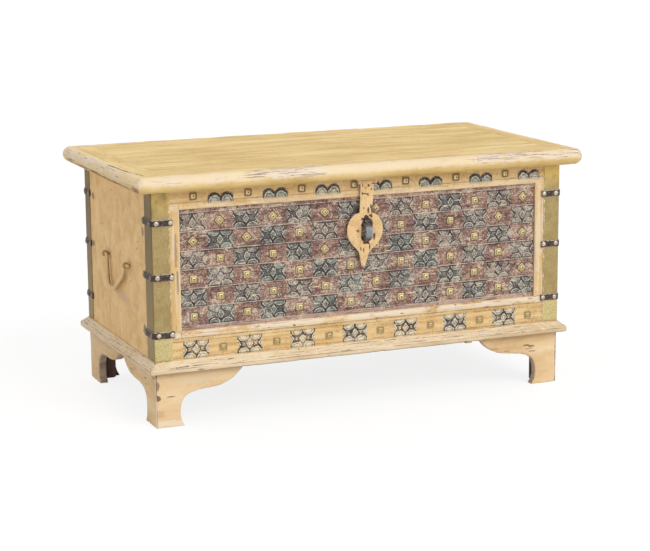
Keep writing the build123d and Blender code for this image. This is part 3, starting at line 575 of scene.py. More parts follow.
def strap_tones(s, dent):
    """Pale rubbed rims along each strap, brown mottling, and painted shade on the sides and back, a dull
    brown.
    """
    away = [s.math("ABSOLUTE", s.math("SUBTRACT", s.z, z)) for z in STRAP_LEVELS]
    rim = s.most(*(s.times((a, 0.0062, 0.0071), (a, 0.009, 0.0085)) for a in away))
    s.lay((128, 104, 78), (dent, 0.52, 0.62), 0.6)
    s.lay((206, 196, 180), rim, (dent, 0.36, 0.5), 0.8)
    # Painted shade on the sides and back
    s.lay((62, 48, 40), off_front(s), 0.6)


def ring_light_and_shade(dark, light):
    """Painted light and shade on the rings round a nail head, by the number kept on its points: -1 painted
    shade, 0 plain, 1 painted highlight.
    """
    def over(s, dent):
        ring = s.kept("ring")[0]
        s.lay(dark, (ring, -0.1, -0.8))
        s.lay(light, (ring, 0.1, 0.9))
    return over


def staple_side_shade(s, dent):
    """A bright front on the loop, and painted shade, brown, on its sides and back."""
    s.lay((104, 90, 84), (s.y, -0.2830, -0.2815), 0.6)


brass = metal(
    "clad_brass", ((156, 134, 88), (180, 158, 106), (202, 180, 130)),
    grit=900, dents=40, shine=(0.45, 0.65), metallic=0.7, over=clad_tones,
)
iron = metal(
    "strap_iron", ((44, 34, 32), (74, 58, 52), (110, 92, 84)), dents=180, metallic=0.4, wear=0.6,
    over=strap_tones,
)
silver = metal(
    "bright_nail", ((140, 126, 110), (212, 200, 182), (248, 242, 228)),
    grit=420, dents=300, shine=(0.3, 0.5), metallic=0.8, over=painted_side_shade,
)
stud = metal(
    "stud_brass", ((138, 116, 70), (194, 172, 120), (232, 214, 166)),
    grit=700, dents=250, shine=(0.4, 0.6), metallic=0.5, over=ring_light_and_shade((88, 70, 40), (234, 214, 162)),
)
rail_nail = metal(
    "rail_nail_brass", ((140, 114, 66), (186, 160, 104), (226, 206, 158)),
    grit=700, dents=250, shine=(0.4, 0.6), metallic=0.4, over=ring_light_and_shade((104, 82, 42), (248, 226, 186)),
)
steel = metal(
    "staple_steel", ((104, 106, 108), (146, 150, 152), (182, 188, 190)), dents=260, metallic=0.5,
    over=staple_side_shade,
)
hinge = metal("hinge_iron", ((62, 54, 48), (104, 92, 80), (146, 132, 116)), metallic=0.7)


# ---------------------------------------------------------------- mesh helpers
def new_piece(name, body, material, points, faces, node, crease=40, turn_out=False):
    """A new mesh that rides a body, takes a finish and stands for a CAD node."""
    mesh = bpy.data.meshes.new(name)
    mesh.from_pydata([tuple(p) for p in points], [], faces)
    if turn_out:
        shape = bmesh.new()
        shape.from_mesh(mesh)
        bmesh.ops.remove_doubles(shape, verts=shape.verts, dist=1e-6)
        bmesh.ops.recalc_face_normals(shape, faces=shape.faces)
        shape.to_mesh(mesh)
        shape.free()
    mesh.materials.append(material)
    mesh.shade_smooth()
    mesh.set_sharp_from_angle(angle=math.radians(crease))
    piece = placed(name, mesh)
    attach(piece, body)
    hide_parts(node)
    return piece


def paint_points(piece, name, *channels):
    """Keep up to three numbers a point, for the material to read; points past the end get 0."""
    colours = np.zeros((len(piece.data.vertices), 4), np.float32)
    for index, values in enumerate(channels):
        colours[: values.size, index] = values.ravel()
    attribute = piece.data.attributes.new(name, "FLOAT_COLOR", "POINT")
    attribute.data.foreach_set("color", colours.ravel())


def step(value, low, high):
    """Smooth step from 0 at low to 1 at high; low may be the higher one."""
    share = np.clip((value - low) / (high - low), 0, 1)
    return share * share * (3 - 2 * share)


def rough(point, features, seed=0.0):
    """Noise between about -0.5 and 0.5 with so many features a metre."""
    return noise.fractal(Vector(point) * features + Vector((seed, seed * 0.7, -seed)), 0.6, 2.0, 3) * 0.5


def roughened(mesh, lift):
    """Move each point of a mesh along its normal, by what lift says for its place."""
    normals = [v.normal.copy() for v in mesh.vertices]
    for vertex, normal in zip(mesh.vertices, normals):
        vertex.co = vertex.co + normal * lift(vertex.co.copy())


def lines(*stops):
    """Grid lines from pairs of place and pitch: each pitch holds up to the next place."""
    out = []
    for (start, pitch), (end, _) in zip(stops, stops[1:]):
        count = max(1, round((end - start) / pitch))
        out += [start + (end - start) * k / count for k in range(count)]
    return np.array(out + [stops[-1][0]])


class Heap:
    """Points and faces of many small shapes, gathered into one piece."""

    def __init__(self):
        self.points, self.faces = [], []

    def add(self, points, faces, matrix=None):
        first = len(self.points)
        self.points += [matrix @ Vector(p) if matrix else Vector(p) for p in points]
        self.faces += [[first + index for index in face] for face in faces]

    def piece(self, name, body, slot, material, node, crease, turn_out=False):
        return new_piece(name, body, material, self.points, self.faces, node, crease, turn_out)


def between_rings(rings, sides):
    """Faces between rings of so many points, and a flat one over the last ring."""
    faces = []
    for first in range(0, (rings - 1) * sides, sides):
        for k in range(sides):
            a, b = first + k, first + (k + 1) % sides
            faces.append((a, b, b + sides, a + sides))
    return faces + [list(range((rings - 1) * sides, rings * sides))]


def knob(profile, sides=20, power=2.0):
    """Rings of (half width, height) closed at the top: round at power 2, squarer above it."""
    points = []
    for half, height in profile:
        for k in range(sides):
            c, q = math.cos(2 * math.pi * k / sides), math.sin(2 * math.pi * k / sides)
            reach = half / (abs(c) ** power + abs(q) ** power) ** (1 / power)
            points.append((reach * c, reach * q, height))
    return points, between_rings(len(profile), sides)


def standing(place, outward, turn, tilt, size, draw):
    """Where a knob stands: its foot at place and its top outward, a little askew."""
    outward = Vector(outward)
    across = Vector((0, 0, 1)).cross(outward)
    base = Matrix((across, outward.cross(across), outward)).transposed().to_4x4()
    pitch, yaw = (Matrix.Rotation(draw.uniform(-tilt, tilt), 4, axis) for axis in "XY")
    spin = Matrix.Rotation(turn, 4, "Z") @ Matrix.Scale(size, 4)
    return Matrix.Translation(place) @ base @ pitch @ yaw @ spin


def tube(path, radii, sides):
    """A round bar along points, with a radius at each, closed at both ends."""
    path = [Vector(p) for p in path]
    points, side = [], None
    for index, here in enumerate(path):
        along_path = (path[min(index + 1, len(path) - 1)] - path[max(index - 1, 0)]).normalized()
        if side is None:
            side = along_path.orthogonal().normalized()
        side = (side - along_path * side.dot(along_path)).normalized()
        other = along_path.cross(side)
        for k in range(sides):
            angle = 2 * math.pi * k / sides
            points.append(here + (side * math.cos(angle) + other * math.sin(angle)) * radii[index])
    *faces, last = between_rings(len(path), sides)
    return points, faces + [list(range(sides))[::-1], last]


def shell(outer, inner):
    """A thin sheet between two grids of points with the same rows and columns."""
    rows, columns = len(outer), len(outer[0])
    points = [p for grid in (outer, inner) for line in grid for p in line]
    far = rows * columns
    faces = []
    for i in range(rows - 1):
        for j in range(columns - 1):
            a = i * columns + j
            faces.append((a, a + 1, a + columns + 1, a + columns))
            faces.append((far + a, far + a + columns, far + a + columns + 1, far + a + 1))
    rim = list(range(columns)) + [i * columns + columns - 1 for i in range(1, rows)]
    rim += [(rows - 1) * columns + j for j in range(columns - 2, -1, -1)]
    rim += [i * columns for i in range(rows - 2, 0, -1)]
    for a, b in zip(rim, rim[1:] + rim[:1]):
        faces.append((a, far + a, far + b, b))
    return points, faces


def settled(holder):
    """The mesh that an object's modifiers make of it; the object is removed."""
    bpy.context.view_layer.update()
    mesh = bpy.data.meshes.new_from_object(holder.evaluated_get(bpy.context.evaluated_depsgraph_get()))
    bpy.data.objects.remove(holder)
    return mesh


def softened(mesh, voxel, passes):
    """The mesh made again from even faces, with its arrises rounded by so many passes."""
    holder = placed("holder", mesh)
    remesh = holder.modifiers.new("remesh", "REMESH")
    remesh.mode, remesh.voxel_size, remesh.adaptivity = "VOXEL", voxel, 0
    relax = holder.modifiers.new("relax", "SMOOTH")
    relax.factor, relax.iterations = 0.5, passes
    return settled(holder)


def weathered(node, material, voxel, passes, wobble):
    """A copy of a CAD node with softened arrises and a hand-worked, uneven surface."""
    mesh = softened(nodes[node].data.copy(), voxel, passes)
    roughened(mesh, lambda at: rough(at, 14, 3.3) * wobble + min(0.0, rough(at, 55, 8.1) + 0.12) * 0.004)
    points = [(*v.co.xy, max(v.co.z, 0.0)) for v in mesh.vertices]
    faces = [list(p.vertices) for p in mesh.polygons]
    bpy.data.meshes.remove(mesh)
    new_piece("worn_" + node, "case", material, points, faces, node, crease=60)


# ---------------------------------------------------------------- carved boards
FINE = 0.00125  # pitch of the grid lines over the carving
FAR = 20  # distance in millimetres for places away from any leaf; studs have twice that
# Which carved blocks are darker and more blue-green than the rest, and which are rubbed pale
DEEP_BLOCKS = {(1, 1), (1, 3), (3, 3), (3, 5), (5, 1), (5, 3), (5, 5), (4, 6), (3, 9), (2, 8), (0, 10)}
PALE_BLOCKS = {(0, 0), (2, 0), (0, 8), (2, 10), (4, 4), (4, 12), (1, 5)}
# Studs that were driven in on a corner, as row and column
ON_A_CORNER = {(0, 1), (0, 3), (0, 5), (0, 7), (0, 13), (1, 0), (1, 2), (1, 12), (2, 5), (2, 13), (4, 13)}
CELLS = [(row, column) for row in range(ROWS) for column in range(COLUMNS)]
draw = random.Random(7)


def cell_middle(row, column):
    return (column - (COLUMNS - 1) / 2) * COLUMN, PANEL_MIDDLE + ((ROWS - 1) / 2 - row) * ROW


def leaves(u, w, cropped):
    """Distance outward from the petals and diamonds of a carved block, or the low petals of a cropped one."""
    nearest = np.full(u.shape, 0.02)
    petal = TOP_PETAL if cropped else PETAL
    for side in (-1, 1):
        for rise in (-1,) if cropped else (-1, 1):
            reach = np.hypot((u - side * 0.0148) / 0.0125, (w - rise * BLOCK_HALF) / petal)
            nearest = np.minimum(nearest, (reach - 1) * 0.0105)
    for middle in () if cropped else (-CELL_HALF - 0.001, 0, CELL_HALF + 0.001):
        nearest = np.minimum(nearest, (np.abs(u - middle) * 11 + np.abs(w) * 8 - 0.088) / 13.6)
    return nearest


class Relief:
    """The front of a carved board as a grid, with the numbers that its material reads at each point."""

    def __init__(self, xs, zs):
        self.x, self.z = np.meshgrid(xs, zs)
        self.height, self.block, self.across, self.rub, self.square = np.zeros((5, *self.x.shape))
        self.apart, self.tone = self.block + FAR, self.block + 0.5

    def carve(self, here, u, w, around, depth=0.0015, cropped=False):
        """Carve a block where here is true; around is its painted ground, and distances are kept in mm."""
        out = leaves(u, w, cropped)
        inside = step(np.abs(u), CELL_HALF + 0.0012, CELL_HALF)
        if cropped:
            around = around * step(out * 1000, 6.0, 4.0)
        else:
            inside = inside * step(np.abs(w), BLOCK_HALF + 0.0012, BLOCK_HALF)
        raised = step(out, 0.0006, -0.0008) * inside
        vein = step(out, -0.0024, -0.0034) * inside
        cut = step(out, -0.0002, 0.001) * inside
        lift = raised * depth - vein * 0.0005 - cut * 0.0006
        self.height = np.where(here, self.height + lift, self.height)
        self.apart = np.where(here, np.minimum(self.apart, out * 1000), self.apart)
        self.across = np.where(here, np.abs(w) * 1000, self.across)
        self.block = np.where(here, np.maximum(self.block, around), self.block)

    def piece(self, name, slot, material, node, front, thick, crease):
        """The board as a piece of the case, with its numbers kept on the points of its front."""
        face = np.stack([self.x, front - self.height, self.z], -1).reshape(-1, 3)
        index = np.arange(self.x.size).reshape(self.x.shape)
        corners = index[:-1, :-1], index[:-1, 1:], index[1:, 1:], index[1:, :-1]
        quads = np.stack(corners, -1).reshape(-1, 4)
        rim = np.concatenate([index[0, :], index[1:, -1], index[-1, -2::-1], index[-2:0:-1, 0]])
        behind = face[rim].copy()
        behind[:, 1] = front + thick
        ring = np.arange(len(rim)) + len(face)
        sides = np.stack([rim, ring, np.roll(ring, -1), np.roll(rim, -1)], -1)
        points = np.concatenate([face, behind])
        faces = quads.tolist() + sides.tolist() + [ring[::-1].tolist()]
        piece = new_piece(name, "case", material, points, faces, node, crease)
        paint_points(piece, "carving", self.apart, self.across, self.rub)
        paint_points(piece, "block", self.block, self.tone, self.square)


def carved_paint(s, grounds, fills, stroke, rim, rubbed, thick, specks, ruled):
    """Lay the colours of a carved face over the base, by the numbers kept on its points.

    A dark stroke runs round every leaf, with a pale rim, a painted highlight, and a thin dark line inside it.
    Ruled faces also have lines between the rows and painted shadow round the studs.
    """
    apart, across, rub = s.kept("carving")[:3]
    block, tone, square = s.kept("block")[:3]
    ragged = s.noise((110, 110, 130), 3, shift=(4.0, 4.0, 4.0))
    fleck = s.noise((300, 300, 430), 3, 0.72, (9.0, 6.0, 3.0))
    bold = thick - 1
    torn = s.plus(block, s.swing(fleck, 1.6), s.swing(ragged, 3.6 * bold))
    block = s.times((torn, 0.3, 0.6), (block, 0.02, 0.2))
    blotch = s.noise((34, 34, 46), 5, 0.68, (1.0, 2.0, 3.0))
    wander = s.plus(s.swing(ragged, 3.4 + 5.0 * bold), s.swing(fleck, 3.0 + 3.0 * bold))
    apart, across = s.plus(apart, wander), s.plus(across, wander)
    tone = s.plus(tone, s.swing(blotch, 1.0))
    s.lay(s.ramp(tone, (0.0, 0.5, 1.0), grounds), block)
    s.lay(s.ramp(tone, (0.0, 0.5, 1.0), fills), block, (apart, 0.4, -0.2))
    kept = s.plus(s.times((blotch, 0.38, 0.52), 0.5 - 0.2 * bold), 0.45 + 0.25 * bold)
    # Painted highlight: the pale rim along the raised edge inside each leaf's stroke
    s.lay(rim, block, s.line(apart, -1.0, 0.95), kept)
    s.lay(stroke, block, s.line(apart, -2.8, 0.8), kept, 0.7)
    if bold:
        s.lay(rim, block, (apart, -4.0, -5.2), (tone, -0.5, 0.5), 0.8)
    s.lay(stroke, block, s.line(apart, 0.3 + thick, thick), kept)
    s.lay(stroke, block, s.line(across, 18.4, 1.1), kept, 1.0 / thick)
    # Rubbed streaks and flecks, some of them cooler, then dark specks and pale dashes
    grain = s.noise((20, 20, 420), 5, 0.7, (6.0, 1.0, 9.0))
    patch = s.plus(fleck, s.swing(ragged, 0.35), s.times(rub, 0.05), s.swing(blotch, -0.7))
    patch = s.plus(patch, s.times(block, -0.025))
    cool = s.noise((60, 60, 200), 3, shift=(2.0, 7.0, 7.0))
    tint = s.mix(s.between(cool, 0.54, 0.6), rubbed, s.mix(0.5, rim, (150, 150, 176)))
    rubs = s.between(s.plus(grain, s.times(rub, 0.09)), 0.62, 0.69)
    s.lay(tint, s.most(s.times(rubs, 0.75), s.times((patch, 0.560, 0.625), specks)))
    s.lay(stroke, (patch, 0.44, 0.37), specks)
    s.lay(rubbed, s.dashes((34, 34, 230), 0.07))
    if ruled:
        # Rows of carving are parted by a pale line above a dark one, both worn away in places
        rows = s.math("FRACT", s.math("DIVIDE", s.math("SUBTRACT", s.z, PANEL_MIDDLE - 20.5 * ROW), ROW))
        drift = s.plus(s.times(rows, ROW * 1000), s.times(wander, 0.5))
        s.lay(tint, s.line(drift, 21.6, 0.9), (grain, 0.40, 0.50), 0.85)
        s.lay(stroke, s.line(drift, 19.8, 0.8), (blotch, 0.42, 0.54), 0.8)
        # Painted shadow: a dark olive square line round each stud
        s.lay((92, 76, 50), s.line(s.plus(square, wander), 9.4, 1.5), (ragged, 0.36, 0.5), 0.8)
    return grain, fleck


def panel_material():
    s = Shader("panel_paint", Specular_IOR_Level=0.25)
    streak = s.noise((7, 7, 150), 6, warp=0.3)
    cloud = s.noise((9, 9, 14), 4, 0.55, (3.0, 3.0, 3.0))
    s.base = s.ramp(streak, (0.32, 0.5, 0.68), ((115, 83, 76), (146, 110, 99), (179, 143, 125)))
    s.lay((164, 124, 110), (cloud, 0.45, 0.65), 0.5)
    grain, fine = carved_paint(
        s, ((103, 109, 105), (128, 121, 116), (160, 138, 124)),
        ((139, 148, 142), (160, 154, 144), (190, 170, 152)),
        (64, 54, 56), (210, 205, 188), (226, 208, 180), thick=1.0, specks=0.85, ruled=True,
    )
    # A pinkish line along the foot, where the panel meets the sill
    s.lay((206, 176, 160), (s.z, 0.2225, 0.2205), (grain, 0.40, 0.52), 0.7)
    return s.finished(streak, 0.8, 0.6, (streak, 0.0006), (grain, 0.0006), (fine, 0.0003))


panel = Relief(lines((-OPEN_X, FINE), (OPEN_X, 0)), lines((OPEN_LOW, FINE), (OPEN_HIGH, 0)))
panel.square += 2 * FAR
for row, column in CELLS:
    x, z = cell_middle(row, column)
    u = panel.x - x - draw.uniform(-0.0008, 0.0008)
    w = panel.z - z - draw.uniform(-0.0008, 0.0008)
    here = (np.abs(u) <= COLUMN / 2 + 0.002) & (np.abs(w) <= ROW / 2 + 0.002)
    shade = draw.random()
    if (row, column) in DEEP_BLOCKS:
        shade = 0.2 * shade
    elif (row, column) in PALE_BLOCKS:
        shade = 0.8 + 0.2 * shade
    else:
        shade = 0.3 + 0.4 * shade
    panel.tone = np.where((np.abs(u) <= COLUMN / 2) & (np.abs(w) <= ROW / 2), shade, panel.tone)
    relief = draw.uniform(0.0011, 0.0016)
    if (row + column) % 2 == 0:
        panel.carve(here, u, w, step(np.abs(u), 0.0310, 0.0292) * step(np.abs(w), 0.0204, 0.0190), relief)
    else:
        # Around a stud: distance from its middle, square to its sides, and a rubbed halo
        turn = math.pi / 4 if (row, column) in ON_A_CORNER else 0
        p, q = u * math.cos(turn) + w * math.sin(turn), w * math.cos(turn) - u * math.sin(turn)
        panel.square = np.where(here, np.maximum(np.abs(p), np.abs(q)) * 1000, panel.square)
        halo = step(np.hypot(u / 1.5, w), 0.0175, 0.009)
        panel.rub = np.where(here, np.maximum(panel.rub, halo * relief * 600), panel.rub)
panel.rub += 0.9 * step(panel.z, 0.4735, 0.4775)
rows_from_middle = (panel.z - PANEL_MIDDLE) / ROW
row_edge = np.abs(rows_from_middle - np.round(rows_from_middle)) * ROW
panel.height -= 0.0006 * step(row_edge, 0.0018, 0.0005)
paint = panel_material()
panel.piece("carved_panel", "panel_wood", paint, "front_carved_panel", PANEL_FACE, thick=0.014, crease=60)


def rail_material():
    s = Shader("rail_paint", Specular_IOR_Level=0.3)
    streak = s.noise((5, 5, 130), 6, warp=0.3)
    cloud = s.noise(7, 3, 0.5, (3.1, 1.7, 0.4))
    s.base = s.ramp(streak, (0.34, 0.52, 0.68), ((210, 166, 102), (230, 190, 128), (242, 212, 156)))
    s.lay((240, 210, 156), (cloud, 0.4, 0.65), 0.4)
    grain, fine = carved_paint(
        s, ((96, 104, 108), (190, 168, 138), (228, 196, 146)),
        ((146, 156, 146), (214, 202, 174), (240, 212, 160)),
        (58, 54, 58), (236, 226, 202), (242, 224, 190), thick=2.0, specks=0.3, ruled=False,
    )
    # Ragged dark lines above and below the carvings; along the lip and the sill, a whitish painted highlight
    # where they catch the light from above, with dark scratches and dents.
    wavy = s.plus(s.z, s.swing(fine, 0.005))
    for z in (0.1905, 0.1535, 0.1975, 0.4985):
        s.lay((104, 82, 70), s.line(wavy, z, 0.0008), (grain, 0.44, 0.52), 0.7)
    proud = s.plus(
        s.times((s.z, 0.1985, 0.2000), (s.z, 0.2150, 0.2135)),
        s.times((s.z, 0.4830, 0.4840), (s.z, 0.4975, 0.4965), 0.45),
    )
    cover = s.noise((16, 16, 60), 4, 0.65, (2.0, 6.0, 8.0))
    s.lay((244, 226, 200), proud, (cover, 0.36, 0.5), 0.85)
    hair = s.noise((12, 12, 480), 4, 0.65, (5.0, 1.0, 2.0))
    s.lay((150, 122, 116), proud, (hair, 0.57, 0.62), 0.7)
    dents = s.noise((60, 60, 200), 4, 0.7, (8.0, 1.0, 5.0))
    s.lay((104, 82, 78), proud, (dents, 0.62, 0.67), 0.9)
    return s.finished(streak, 0.75, 0.5, (streak, 0.0006), (grain, 0.0003), (fine, 0.0003))


rail_paint = rail_material()


def rail(end, zs, proud, middle, middles, cropped, shades):
    """A rail of the front frame: its lip or bead, and the carved blocks along it."""
    board = Relief(lines((-CASE_X, 0.01), (-OPEN_X - 0.005, FINE), (OPEN_X + 0.005, 0.01), (CASE_X, 0)), zs)
    board.height = proud(board.z) * step(np.abs(board.x), OPEN_X + 0.0008, OPEN_X)
    for x in middles:
        u, w = board.x - x - draw.uniform(-0.001, 0.001), board.z - middle
        here = (np.abs(u) < 0.031) & (np.abs(w) < 0.021)
        around = step(np.abs(u), 0.0302, 0.0288) * step(np.abs(w), 0.0200, 0.0190)
        board.carve(here, u, w, around, cropped=cropped)
        board.tone = np.where(here, draw.uniform(*shades), board.tone)
    name, node = f"carved_{end}_rail", f"front_{end}_rail"
    board.piece(name, "frame_wood", rail_paint, node, FRAME_FACE, thick=0.024, crease=50)


def lip(z):
    """The flat lip above the opening, with rubbed edges."""
    return 0.002 * step(z, 0.4828, 0.4842) * step(z, 0.4976, 0.4964)


def bead(z):
    """The round bead of the sill."""
    return 0.004 * np.sqrt(np.clip(1 - ((z - 0.206) / 0.0071) ** 2, 0, 1)) ** 0.6


rail(
    "top", lines((OPEN_HIGH, 0.0007), (0.498, FINE), (0.526, 0)), lip,
    0.4955 + BLOCK_HALF, RAIL_XS[1::2], True, (-0.3, 0.2),
)
rail(
    "bottom", lines((0.124, 0.005), (0.149, FINE), (0.198, 0.0007), (0.2138, 0)), bead,
    BOTTOM_RAIL_Z, RAIL_XS[0::2], False, (0.3, 1.0),
)

# ---------------------------------------------------------------- studs and nails
# Rings of half width, height and painted shade, from -1 for painted shade to 1 for painted highlight
STUD = (
    (0.0080, 0, -0.6), (0.0081, 0.0007, 0.2), (0.0076, 0.0013, 1), (0.0066, 0.0016, 0.6),
    (0.0062, 0.0018, -0.9), (0.0055, 0.0026, -0.2), (0.0046, 0.0034, 0.5), (0.0026, 0.0050, 1),
    (0.0019, 0.0053, 0), (0.0011, 0.0042, -1),
)
RAIL_NAIL = (
    (0.0088, 0, -0.8), (0.0088, 0.0015, -0.6), (0.0080, 0.0021, -0.3), (0.0068, 0.0019, -0.7),
    (0.0058, 0.0011, -1), (0.0052, 0.0012, 0.4), (0.0042, 0.0028, 0.9), (0.0024, 0.0041, 0.7),
    (0.0014, 0.0036, -0.6),
)
DOME = (0.0057, 0), (0.0056, 0.0006), (0.0051, 0.0014), (0.0041, 0.0021), (0.0029, 0.0026), (0.0014, 0.0028)
TACK = (0.0027, 0), (0.0026, 0.0005), (0.0020, 0.0011), (0.0010, 0.0015)
HEAD_SIDES, HEAD_POWER = 32, 9
NAIL_OUT = 0.0037  # how far the straps' nails stand out from the case


def cast(name, slot, material, profile, stands, node, crease, shares=(1.0,)):
    """Square heads where they stand, with the painted light and shade of each ring kept on its points.

    shares are how much of its painted light and shade each head keeps, in turn.
    """
    heap = Heap()
    for stand in stands:
        heap.add(*knob([ring[:2] for ring in profile], HEAD_SIDES, HEAD_POWER), stand)
    shades = np.repeat([ring[2] for ring in profile], HEAD_SIDES)
    shades = np.concatenate([shades * shares[k % len(shares)] for k in range(len(stands))])
    paint_points(heap.piece(name, "case", slot, material, node, crease), "ring", shades)


stands = []
for row, column in CELLS:
    if (row + column) % 2:
        x, z = cell_middle(row, column)
        turn = draw.uniform(-0.12, 0.12) + (math.pi / 4 if (row, column) in ON_A_CORNER else 0)
        stands.append(standing((x, PANEL_FACE, z), (0, -1, 0), turn, 0.05, draw.uniform(0.90, 1.0), draw))
cast("cast_studs", "stud_brass", stud, STUD, stands, "panel_studs", crease=25)

stands = []
for k, x in enumerate(RAIL_XS):
    place = (x, FRAME_FACE, TOP_RAIL_Z if k % 2 == 0 else BOTTOM_RAIL_Z)
    turn, size = draw.uniform(-0.06, 0.06), draw.uniform(0.96, 1.02)
    stands.append(standing(place, (0, -1, 0), turn, 0.03, size, draw))
node = "rail_square_nails"
cast("square_nails", "rail_nail_brass", rail_nail, RAIL_NAIL, stands, node, crease=30, shares=(1.0, 0.5))


def legs(widths, side_y):
    """Widths of a corner's legs along X and Y; those at the back are the other way round."""
    return widths if side_y < 0 else widths[::-1]


# Nails stand so far from the corner, or from the end of the leg if that is negative
for name, node, profile, insets, finish in (
    ("dome_nails", "strap_dome_nails", DOME, (0.009, -0.005), silver),
    ("small_tacks", "strap_tacks", TACK, (0.021,), iron),
):
    heap = Heap()
    for side_x in (-1, 1):
        for side_y in (-1, 1):
            for z in STRAP_LEVELS:
                for inset in insets:
                    x, y = (
                        half - (inset if inset > 0 else leg + inset)
                        for half, leg in zip((CASE_X, CASE_Y), legs(STRAP_LEGS, side_y))
                    )
                    for place, outward in (
                        ((side_x * x, side_y * (CASE_Y + NAIL_OUT), z), Vector((0, side_y, 0))),
                        ((side_x * (CASE_X + NAIL_OUT), side_y * y, z), Vector((side_x, 0, 0))),
                    ):
                        wander = Vector([draw.uniform(-1, 1) for _ in "XYZ"]) * 0.0008
                        wander -= outward * wander.dot(outward)
                        turn, size = draw.random(), draw.uniform(0.94, 1.04)
                        foot = Vector(place) + wander
                        heap.add(*knob(profile), standing(foot, outward, turn, 0.08, size, draw))
    heap.piece(name, "case", "bright_nails", finish, node, crease=50)


# ---------------------------------------------------------------- lid edge
def nosing_section():
    """Points of the edge's section, outward from the boards and up."""
    points = [(-LEDGE, 0), (-LEDGE, LEDGE_TOP), (0, LEDGE_TOP), (0, LID_THICK)]
    points += [(0.012 * k, LID_THICK) for k in range(1, 4)]
    for k in range(13):
        angle = math.pi / 2 - math.pi * k / 12
        points.append((NOSING - LID_NOSE + LID_NOSE * math.cos(angle), LID_NOSE + LID_NOSE * math.sin(angle)))
    return points + [(0.036, 0), (0.018, 0)]


def lid_edge(side, outward, face, run, material, seed):
    """One side of the lid's edge, mitred at both ends and rounded off at the corners."""
    outward = Vector(outward)
    along_edge = outward.cross(Vector((0, 0, 1)))
    section = nosing_section()
    straight = 2 * round(run / 0.006)
    places = []
    for out, rise in section:
        bend = max(LID_CORNER - NOSING + out, 0.0)
        half = run + out - bend - 0.0001
        row = [(half * (2 * k / straight - 1), out) for k in range(straight + 1)]
        turn = [math.pi / 4 * k / 5 for k in range(1, 6)]
        after = [(half + bend * math.sin(a), out - bend + bend * math.cos(a)) for a in turn]
        before = [(-a, o) for a, o in reversed(after)]
        places.append([(a, o, rise) for a, o in before + row + after])
    points = [
        outward * (face + out) + along_edge * at + Vector((0, 0, LID_LOW + rise))
        for column in zip(*places) for at, out, rise in column
    ]
    count, columns = len(section), len(places[0])
    faces = []
    for k in range(columns - 1):
        for j in range(count):
            a, b = k * count + j, k * count + (j + 1) % count
            faces.append((a, a + count, b + count, b))
    faces += [list(range(count))[::-1], list(range((columns - 1) * count, columns * count))]
    name, node = "worn_edge_" + side, "lid_nosing_" + side
    piece = new_piece(name, "lid", material, points, faces, node, 50, turn_out=True)

    def knocked(at):
        """Slow waves from the plane all along, and dents on the round."""
        if (at - outward * face).dot(outward) <= 0.03:
            return 0.0
        return min(rough(at, 12, seed) * 0.0016 + min(0.0, rough(at, 70, seed + 4) + 0.1) * 0.005, 0.0006)

    roughened(piece.data, knocked)


lid_edge("front", (0, -1, 0), LID_Y, LID_X, edge_x, 1.0)
lid_edge("back", (0, 1, 0), LID_Y, LID_X, edge_x, 2.0)
lid_edge("left", (-1, 0, 0), LID_X, LID_Y, edge_y, 3.0)
lid_edge("right", (1, 0, 0), LID_X, LID_Y, edge_y, 4.0)

# ---------------------------------------------------------------- feet and base moulding
for node in sorted(nodes):
    if node.startswith("foot_") and node != "foot_corner_blocks":
        paint = feet_x if node.endswith("face") else feet_y
        weathered(node, paint, voxel=0.0026, passes=3, wobble=0.0014)
    if node.startswith("base_moulding"):
        paint = base_x if node.endswith(("front", "back")) else base_y
        weathered(node, paint, voxel=0.0022, passes=2, wobble=0.0012)


# ---------------------------------------------------------------- corner brasses and straps
def corner_path(side_x, side_y, widths, bend, pitch):
    """Places and outward directions round a corner, from the end of one leg to the end of the other."""
    leg_x, leg_y = legs(widths, side_y)
    path = []
    steps = max(2, round((leg_x - bend) / pitch))
    for k in range(steps):
        path.append((CASE_X - leg_x + (leg_x - bend) * k / steps, CASE_Y, 0.0, 1.0))
    for k in range(7):
        u, v = math.sin(math.pi / 2 * k / 6), math.cos(math.pi / 2 * k / 6)
        path.append((CASE_X - bend + bend * u, CASE_Y - bend + bend * v, u, v))
    steps = max(2, round((leg_y - bend) / pitch))
    for k in range(1, steps + 1):
        path.append((CASE_X, CASE_Y - bend - (leg_y - bend) * k / steps, 1.0, 0.0))
    return [(Vector((side_x * x, side_y * y, 0)), Vector((side_x * u, side_y * v, 0))) for x, y, u, v in path]


def corner_sheet(path, levels, lift, thick, dents, seed):
    """A strip of metal bent along a path; levels are pairs of height and share of the thickness."""
    outer, inner = [], []
    for place, outward in path:
        line = [(place + Vector((0, 0, z)), share) for z, share in levels]
        wavy = [thick + (rough(at, 22, seed) + 0.5) * dents for at, share in line]
        outer.append([at + outward * (lift + high * share) for (at, share), high in zip(line, wavy)])
        inner.append([at + outward * (lift + 0.0001) for at, share in line])
    return shell(outer, inner)


